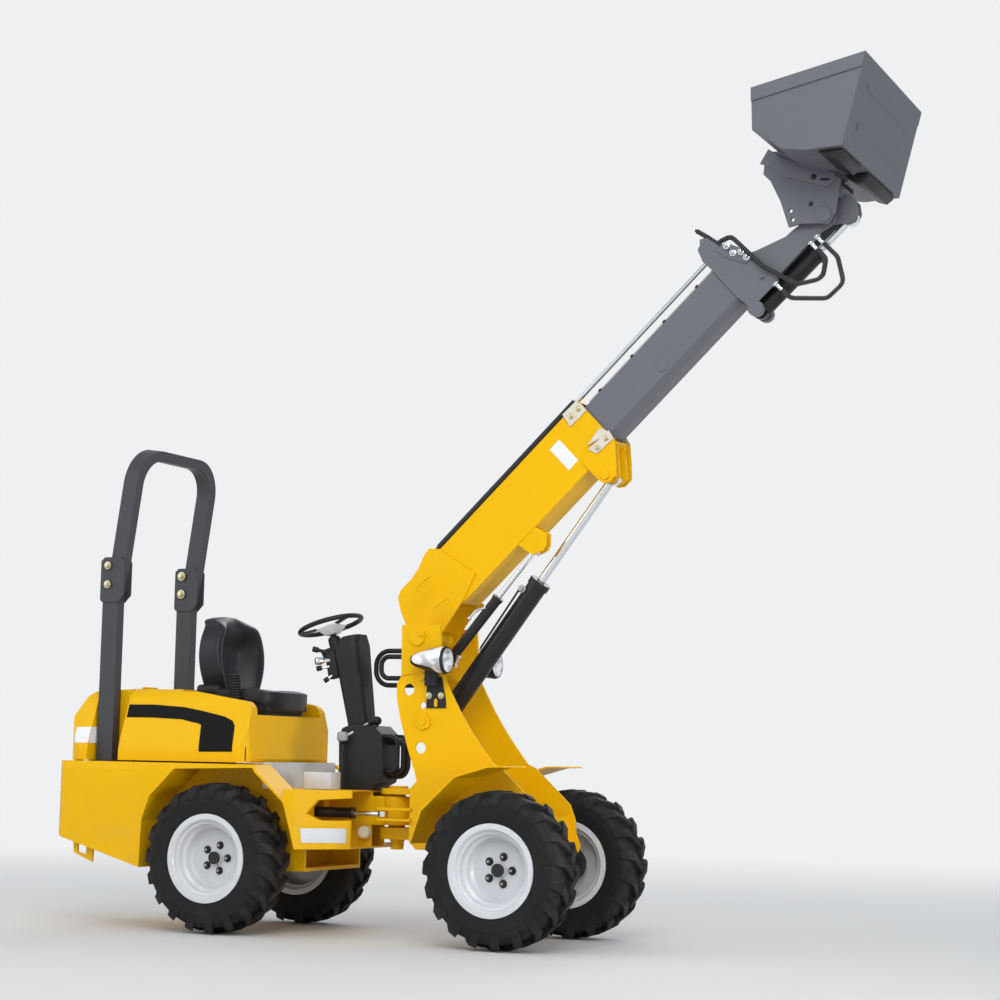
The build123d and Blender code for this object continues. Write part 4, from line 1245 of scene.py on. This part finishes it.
@dataclass
class BoomTrim(Bench):
    """Label, pad bolts, thin pipe, hose guards and couplings of the boom."""

    box_half: float = 0.100
    pad_half: float = 0.110
    cover_half: float = 0.1125
    cover_thickness: float = 0.006
    head_half: float = 0.097
    bracket_thickness: float = 0.006
    label_size: Triple = (0.072, 0.0012, 0.155)
    label_corners: Pairs = ((1.154, 0.233), (1.220, 0.231), (1.226, 0.075), (1.146, 0.078))
    pad_bolt_spots: Pairs = ((1.352, 0.268), (1.405, 0.268))
    cover_bolt_spots: Pairs = ((1.345, 0.041), (1.410, 0.041))
    pipe_start: float = 1.465
    pipe_end: float = 2.380
    pipe_height: float = 0.268
    pipe_side: float = -0.055
    pipe_radius: float = 0.006
    clip_size: Triple = (0.022, 0.026, 0.020)
    clip_pitch: float = 0.24
    clip_count: int = 4
    guard_radius: float = 0.0098
    guard_wire: float = 0.0036
    guard_pitch: float = 0.0125
    spare_radius: float = 0.008

    def label(self) -> None:
        """Blank label plate on the near side of the outer boom."""
        corners = [from_boom(u, v, -self.box_half - 0.0010) for u, v in self.label_corners]
        middle = sum(corners, Vector()) / 4
        plate = self.block("boom_label", self.label_size, middle, (0.0, -BOOM_ANGLE, 0.0))
        self.soften(plate, 0.0004)
        self.dress(plate, "outer_boom", Finish.WHITE)

    def pad_bolts(self) -> None:
        """Bolt heads through the wear pads."""
        bolt = self.bolt("pad_bolts", 0.011, 0.010)
        places = both_sides(self.pad_bolt_spots, self.pad_half, boom=True)
        self.mount(bolt, places, "outer_boom", Finish.ZINC)

    def pad_covers(self) -> None:
        """Plates over the lower wear pads, with their bolts."""
        outline = ((1.302, 0.072), (1.447, 0.062), (1.436, 0.012), (1.318, 0.022))
        for side, hand in SIDES:
            face = self.cover_half * hand
            corners = [from_boom(u, v, face) for u, v in outline]
            plate = self.plate(f"pad_cover_{side}", corners,
                               Vector((0, hand * self.cover_thickness, 0)))
            self.dress(plate, "outer_boom", Finish.PAD)
        bolt = self.bolt("cover_bolts", 0.010, 0.009)
        face = self.cover_half + self.cover_thickness
        places = both_sides(self.cover_bolt_spots, face, boom=True)
        self.mount(bolt, places, "outer_boom", Finish.ZINC)

    def pipe(self) -> None:
        """Thin steel pipe along the top of the inner boom, with its clips."""
        ends = [from_boom(u, self.pipe_height, self.pipe_side)
                for u in (self.pipe_start, self.pipe_end)]
        pipe = self.tube("boom_pipe", ends, self.pipe_radius)
        self.dress(pipe, "inner_boom", Finish.STEEL)
        clip = self.block("pipe_clips", self.clip_size)
        self.soften(clip, 0.004)
        along = (math.cos(BOOM_ANGLE), 0, math.sin(BOOM_ANGLE))
        places = [facing(from_boom(self.pipe_start + 0.08 + self.clip_pitch * row,
                                   self.pipe_height - 0.004, self.pipe_side), along)
                  for row in range(self.clip_count)]
        self.mount(clip, places, "inner_boom", Finish.BLACK)

    def guard(self, name: str, route: list[Vector], bare: int) -> None:
        """Wind a spiral guard round a hose.

        Args:
            name: the guard's name.
            route: points along the hose.
            bare: turns left out at each end.
        """
        self.clear()
        bpy.ops.mesh.primitive_torus_add(major_radius=self.guard_radius,
                                         minor_radius=self.guard_wire,
                                         major_segments=16, minor_segments=6)
        ring = self.settle(name)
        self.push(ring, anywhere, (0, 0, 0.0002))
        turns = spaced(route, self.guard_pitch)[bare:-bare]
        self.mount(ring, [facing(*turn) for turn in turns], "inner_boom", Finish.SPIRAL, 60)

    def guards(self) -> None:
        """Spiral guards round the head's hoses, and their couplings."""
        hoses = (
            ("upper", 0.044, [(2470.4, 345, -66), (2505, 345, -66), (2568, 300, -110),
                              (2574, 60, -122), (2630, -140, -128), (2735, -215, -128),
                              (2815, -130, -64), (2815, -15.4, -64)]),
            ("lower", 0.044, [(2556, -40.2, -91), (2556, -150, -91), (2680, -290, -92),
                              (2790, -296, -92), (2858, -170, -64), (2858, -15.4, -64)]),
        )
        for name, bend, corners in hoses:
            route = rounded_route([from_boom(u / 1000, v / 1000, y / 1000)
                                   for u, v, y in corners], bend)
            self.guard(f"hose_guard_{name}", route, 3)
            sleeve = self.bolt(f"hose_coupling_{name}", 0.014, 0.020)
            neck = self.drum(f"hose_ferrule_{name}", 0.0125, 0.034, 20, 0.018)
            self.soften(neck, 0.002)
            coupling = self.join([sleeve, neck])
            self.mount(coupling, both_ends(route), "inner_boom", Finish.CHROME)

    def spare_end(self) -> None:
        """Free end of a guarded hose above the head, and the bolts beside it."""
        bends = ((2.462, 0.478, -0.075), (2.482, 0.395, -0.085), (2.500, 0.300, -0.085),
                 (2.516, 0.232, -0.100))
        route = rounded_route([from_boom(*bend) for bend in bends], 0.060)
        hose = self.tube("spare_hose", route, self.spare_radius)
        self.dress(hose, "inner_boom", Finish.HOSE, 60)
        self.guard("spare_guard", route, 1)
        outline = ((2.462, 0.310), (2.505, 0.312), (2.534, 0.288), (2.564, 0.210), (2.566, 0.140),
                   (2.520, 0.146), (2.478, 0.235))
        corners = [from_boom(u, v, -self.head_half) for u, v in outline]
        bracket = self.plate("coupling_bracket", corners,
                             Vector((0, -self.bracket_thickness, 0)), 0.003)
        self.dress(bracket, "inner_boom", Finish.SLATE)
        coupling = self.bolt("head_couplings", 0.012, 0.024)
        places = [facing(from_boom(u, v, -self.head_half - self.bracket_thickness), (0, -1, 0))
                  for u, v in ((2.516, 0.232), (2.518, 0.284), (2.548, 0.205), (2.549, 0.163))]
        self.mount(coupling, places, "inner_boom", Finish.CHROME)
        bolt = self.bolt("head_bolts", 0.012, 0.010)
        places = both_sides(((2.532, 0.036),), self.head_half, boom=True)
        self.mount(bolt, places, "inner_boom", Finish.SLATE)

    def build(self) -> None:
        """Build the boom's trim."""
        self.label()
        self.pad_bolts()
        self.pad_covers()
        self.pipe()
        self.guards()
        self.spare_end()


@dataclass
class ToolTrim(Bench):
    """Doubler plates of the tool carrier with painted shade in their hole and slot, and the beam
    behind the bucket, near-black to paint the shade there.
    """

    ear_half: float = 0.122
    doubler: float = 0.008
    mark_thickness: float = 0.0012
    hole_radius: float = 0.015
    hole_spots: Pairs = ((1.470, 3.797),)
    slot_length: float = 0.050
    slot_width: float = 0.012
    slot_place: tuple[float, float] = (1.526, 3.779)
    slot_tilt: float = 0.08
    beam_spans: Pairs = ((-0.490, -0.165), (-0.030, 0.450))

    def doublers(self) -> None:
        """Doubler plate on each ear, with thin black discs over its hole and slot that paint the
        shade inside them.
        """
        outline = ((1.192, 3.890), (1.236, 3.962), (1.295, 3.920), (1.394, 3.870), (1.504, 3.837),
                   (1.571, 3.812), (1.584, 3.778), (1.538, 3.742), (1.300, 3.820), (1.248, 3.869))
        for side, hand in SIDES:
            corners = [ahead(x, hand * self.ear_half, z) for x, z in outline]
            plate = self.plate(f"ear_doubler_{side}", corners,
                               Vector((0, hand * self.doubler, 0)), 0.0025)
            self.dress(plate, "tool", Finish.SLATE)
        # Painted shade: the black disc and pill are thin marks on the plate, standing for the shade
        # inside the hole and slot.
        hole = self.drum("ear_holes_painted_shade", self.hole_radius, self.mark_thickness, 24)
        self.soften(hole, 0.0003)
        slot = self.pill("ear_slots_painted_shade", self.slot_length, self.slot_width, self.mark_thickness)
        face = self.ear_half + self.doubler
        holes = self.repeat(hole, both_sides(self.hole_spots, face))
        x, z = self.slot_place
        slots = self.repeat(slot, [on_side(ahead(x, hand * face, z), hand, self.slot_tilt)
                                   for _, hand in SIDES])
        self.dress(self.join([holes, slots]), "tool", Finish.BLACK)

    def beam(self) -> None:
        """Folded beam along the back of the bucket, open where the hoses pass, in near-black rubber
        finish that also paints the shade on the bucket's down-facing back.
        """
        outline = ((1.600, 3.8165), (1.718, 3.8215), (1.716, 3.800), (1.684, 3.776), (1.642, 3.790))
        parts = []
        for start, end in self.beam_spans:
            corners = [ahead(x, start, z) for x, z in outline]
            parts.append(self.plate("bucket_beam_painted_shade", corners, Vector((0, end - start, 0)), 0.003))
        # The beam is a mount that is there; its near-black finish paints the shade that falls under
        # the bucket's back.
        self.dress(self.join(parts), "tool", Finish.HOSE)

    def build(self) -> None:
        """Build the tool's trim."""
        self.doublers()
        self.beam()


@dataclass
class FrameTrim(Bench):
    """Bolts of the lamp brackets and the hoop, the cap, the foot tray and the boom's slots."""

    plate_half: float = 0.228
    boss_half: float = 0.240
    hoop_half: float = 0.4115
    nut_half: float = 0.3155
    pivot_half: float = 0.203
    notch_size: Triple = (0.044, 0.019, 0.0010)
    notch_place: tuple[float, float] = (-0.4895, 1.204)
    slot_size: Triple = (0.115, 0.026, 0.0040)
    cap_radius: float = 0.033
    cap_length: float = 0.050
    cap_place: Triple = (-0.952, -0.0745, 0.533)
    tray_size: Triple = (0.160, 0.105, 0.090)
    tray_place: Triple = (-1.110, -0.2825, 0.797)

    def bolts(self) -> None:
        """Place the bolt heads."""
        sets = (
            # name, body, half-width, outward or inward, radius, finish, places
            ("bracket_bolts", "front_frame", self.plate_half, 1, 0.012, Finish.ZINC,
             ((-0.529, 1.240), (-0.460, 1.241))),
            ("bracket_studs", "front_frame", self.plate_half, 1, 0.006, Finish.ZINC,
             ((-0.530, 1.312), (-0.508, 1.313))),
            ("mast_bolts", "front_frame", self.boss_half, 1, 0.013, Finish.YELLOW,
             ((-0.572, 1.557),)),
            ("hoop_bolts", "rear_frame", self.hoop_half, 1, 0.015, Finish.ZINC,
             ((-2.413, 1.929),)),
            ("hoop_lock_bolts", "rear_frame", self.hoop_half - 0.002, 1, 0.015, Finish.ZINC,
             ((-2.413, 1.826),)),
            ("hoop_nuts", "rear_frame", self.nut_half, -1, 0.018, Finish.ZINC,
             ((-2.413, 1.929),)),
            ("hoop_lock_nuts", "rear_frame", self.nut_half + 0.002, -1, 0.018, Finish.ZINC,
             ((-2.413, 1.826),)),
        )
        for name, body, half, way, radius, finish, spots in sets:
            bolt = self.bolt(name, radius, radius * 0.8)
            self.mount(bolt, both_sides(spots, half, way), body, finish)

    def notches(self) -> None:
        """Yellow mast seen through the slot of each lamp bracket."""
        notch = self.pill("bracket_notches", *self.notch_size)
        x, z = self.notch_place
        places = [on_side(ahead(x, hand * self.plate_half, z), hand, math.pi / 2)
                  for _, hand in SIDES]
        self.mount(notch, places, "front_frame", Finish.YELLOW)

    def slots(self) -> None:
        """Pressed slots in the boom's pivot plates."""
        slot = self.pill("boom_slots", *self.slot_size)
        self.rim(slot, lambda place, normal: normal.z > 0.9 and abs(place.x) < 0.04,
                 0.0045, -0.0032)
        places = [on_side(from_boom(u, v, hand * self.pivot_half), hand, -BOOM_ANGLE - tilt)
                  for u, v, tilt in ((0.199, 0.192, -0.11), (0.200, 0.039, -0.19))
                  for _, hand in SIDES]
        self.mount(slot, places, "outer_boom", Finish.YELLOW)

    def cap(self) -> None:
        """Cream cap behind the joint."""
        cap = self.drum("joint_cap", self.cap_radius, self.cap_length, 36)
        self.soften(cap, 0.013, 5)
        place = facing(ahead(*self.cap_place), (0, -1, 0))
        self.mount(cap, [place], "rear_frame", Finish.CREAM, 60)

    def tray(self) -> None:
        """Silver foot tray ahead of the tub on the near side."""
        tray = self.block("foot_tray", self.tray_size, ahead(*self.tray_place))
        self.rim(tray, on_top, 0.008, 0.0)
        self.rim(tray, on_top, 0.001, -0.006)
        self.soften(tray, 0.003)
        self.dress(tray, "rear_frame", Finish.SHEET)

    def build(self) -> None:
        """Build the frame's trim."""
        self.bolts()
        self.notches()
        self.slots()
        self.cap()
        self.tray()


@dataclass
class RamPipes(Bench):
    """Pipes, plugs and elbows on the lift and compensation cylinders."""

    plug_radius: float = 0.015
    plug_height: float = 0.018
    plug_place: Triple = (-0.099, -0.050, 1.797)

    def build(self) -> None:
        """Build the pipes and fittings."""
        pipes = (
            # name, body, finish, radius, bend, corners ahead of the front axle
            ("lift_pipe", "lift_barrel", Finish.BLACK, 0.0055, 0.02,
             ((-0.106, -0.058, 1.800), (-0.130, -0.062, 1.762), (-0.330, -0.062, 1.480))),
            ("comp_elbow", "comp_barrel", Finish.CHROME, 0.0065, 0.018,
             ((-0.372, -0.102, 1.640), (-0.332, -0.102, 1.684), (-0.282, -0.092, 1.700))),
            ("comp_fitting", "comp_barrel", Finish.CHROME, 0.0080, 0.018,
             ((-0.424, -0.100, 1.452), (-0.436, -0.100, 1.425), (-0.450, -0.100, 1.393))),
        )
        for name, body, finish, radius, bend, corners in pipes:
            route = rounded_route([ahead(*corner) for corner in corners], bend)
            pipe = self.tube(name, route, radius)
            collar = self.drum(f"{name}_collars", radius * 1.7, radius * 2.2, 6)
            self.soften(collar, radius * 0.15)
            collars = self.repeat(collar, both_ends(route))
            self.dress(pipe, body, finish, 60)
            self.dress(collars, body, Finish.CHROME)
        plug = self.bolt("lift_plug", self.plug_radius, self.plug_height)
        self.soften(plug, 0.002)
        place = facing(ahead(*self.plug_place), (0, -1, 0))
        self.mount(plug, [place], "lift_barrel", Finish.STEEL)


@dataclass
class Controls(Bench):
    """Column jacket, switches and levers, and the cover below the steering wheel."""

    wheel_centre: Triple = (-1.245, 0.0, 1.620)
    column_lean: Triple = (-0.3039, 0.0, 0.9527)
    cover_size: Triple = (0.150, 0.120, 0.046)
    jacket_radius: float = 0.034
    jacket_length: float = 0.100
    jacket_drop: float = 0.175
    switch_size: Triple = (0.060, 0.105, 0.070)
    switch_drop: float = 0.165
    housing_size: Triple = (0.050, 0.064, 0.150)
    housing_place: Triple = (-1.194, -0.052, 1.405)
    knob_radius: float = 0.029
    knob_height: float = 0.052
    knob_place: Triple = (-1.086, -0.122, 1.000)

    def along(self, distance: float) -> Vector:
        """Point on the column's axis at a distance above the wheel's centre."""
        return ahead(*self.wheel_centre) + Vector(self.column_lean) * distance

    def wheel_cover(self) -> None:
        """Model the white cover that tapers below the wheel's hub."""
        cover = self.block("wheel_cover", self.cover_size, (0, 0, -0.031))
        self.scale(cover, lambda p, n: p.z < -0.03, (0.42, 0.5, 1.0), (0, 0, 0))
        self.soften(cover, 0.006, 3)
        self.mount(cover, [facing(self.along(0.0), self.column_lean)], "steering_wheel",
                   Finish.WHITE, 50)

    def jacket(self) -> None:
        """Model the column's upper jacket."""
        jacket = self.drum("column_jacket", self.jacket_radius, self.jacket_length, 32)
        self.rim(jacket, on_top, 0.010, 0.012)
        self.soften(jacket, 0.004, 3)
        place = facing(self.along(-self.jacket_drop), self.column_lean)
        switch = self.block("column_switch", self.switch_size)
        self.scale(switch, lambda p, n: p.z < 0, (0.8, 0.8, 1.0), (0, 0, 0))
        self.soften(switch, 0.012, 3)
        beside = self.along(-self.switch_drop) + Vector((-0.02, -0.03, 0))
        switch = self.repeat(switch, [facing(beside, self.column_lean)])
        housing = self.block("switch_housing", self.housing_size)
        self.soften(housing, 0.014, 3)
        housing = self.repeat(housing, [facing(ahead(*self.housing_place), (-0.215, 0, 1))])
        self.dress(self.join([self.repeat(jacket, [place]), switch, housing]),
                   "rear_frame", Finish.PLASTIC, 50)

    def levers(self) -> None:
        """Model the levers beside the column and the one on the console."""
        levers = (
            # name, root, tip, radius, grip radius, rod's and grip's finish
            ("turn_stalk", (-1.215, -0.070, 1.470), (-1.275, -0.095, 1.484), 0.010, 0.015,
             Finish.PLASTIC, Finish.PLASTIC),
            ("key_switch", (-1.200, -0.060, 1.430), (-1.242, -0.100, 1.424), 0.013, 0.020,
             Finish.CHROME, Finish.CHROME),
            ("throttle_stalk", (-1.185, -0.060, 1.400), (-1.252, -0.092, 1.386), 0.008, 0.014,
             Finish.CHROME, Finish.PLASTIC),
            ("lock_stalk", (-1.165, -0.055, 1.370), (-1.212, -0.085, 1.326), 0.008, 0.013,
             Finish.CHROME, Finish.PLASTIC),
            ("console_lever", (-1.070, -0.100, 1.034), (-0.958, -0.056, 1.104), 0.008, 0.018,
             Finish.CHROME, Finish.PLASTIC),
        )
        for name, root, tip, radius, grip_radius, finish, grip_finish in levers:
            start, end = ahead(*root), ahead(*tip)
            rod = self.tube(name, [start, start.lerp(end, 0.5), end], radius)
            self.dress(rod, "rear_frame", finish, 60)
            grip = self.drum(f"{name}_grip", grip_radius, grip_radius * 2.2, 24)
            self.rim(grip, on_top, grip_radius * 0.3, 0.0)
            self.soften(grip, grip_radius * 0.4, 4)
            place = facing(end - (end - start).normalized() * 0.012, end - start)
            self.mount(grip, [place], "rear_frame", grip_finish, 60)

    def knob(self) -> None:
        """Model the grey cap on the console's near side."""
        knob = self.drum("console_knob", self.knob_radius, self.knob_height, 32)
        self.soften(knob, 0.014, 5)
        place = Matrix.Translation(ahead(*self.knob_place))
        self.mount(knob, [place], "rear_frame", Finish.GREY, 60)

    def build(self) -> None:
        """Build the controls."""
        self.wheel_cover()
        self.jacket()
        self.levers()
        self.knob()


def main() -> None:
    """Build the scene in order."""
    logging.basicConfig(level=logging.INFO)
    Studio().build()
    palette = Palette()
    palette.dress_nodes()
    for group in (WheelTrim, SeatPads, Decals, BoomTrim, ToolTrim, FrameTrim, RamPipes, Controls):
        group(palette).build()
        LOG.info("finished %s", group.__name__)


if __name__ == "__main__":
    main()
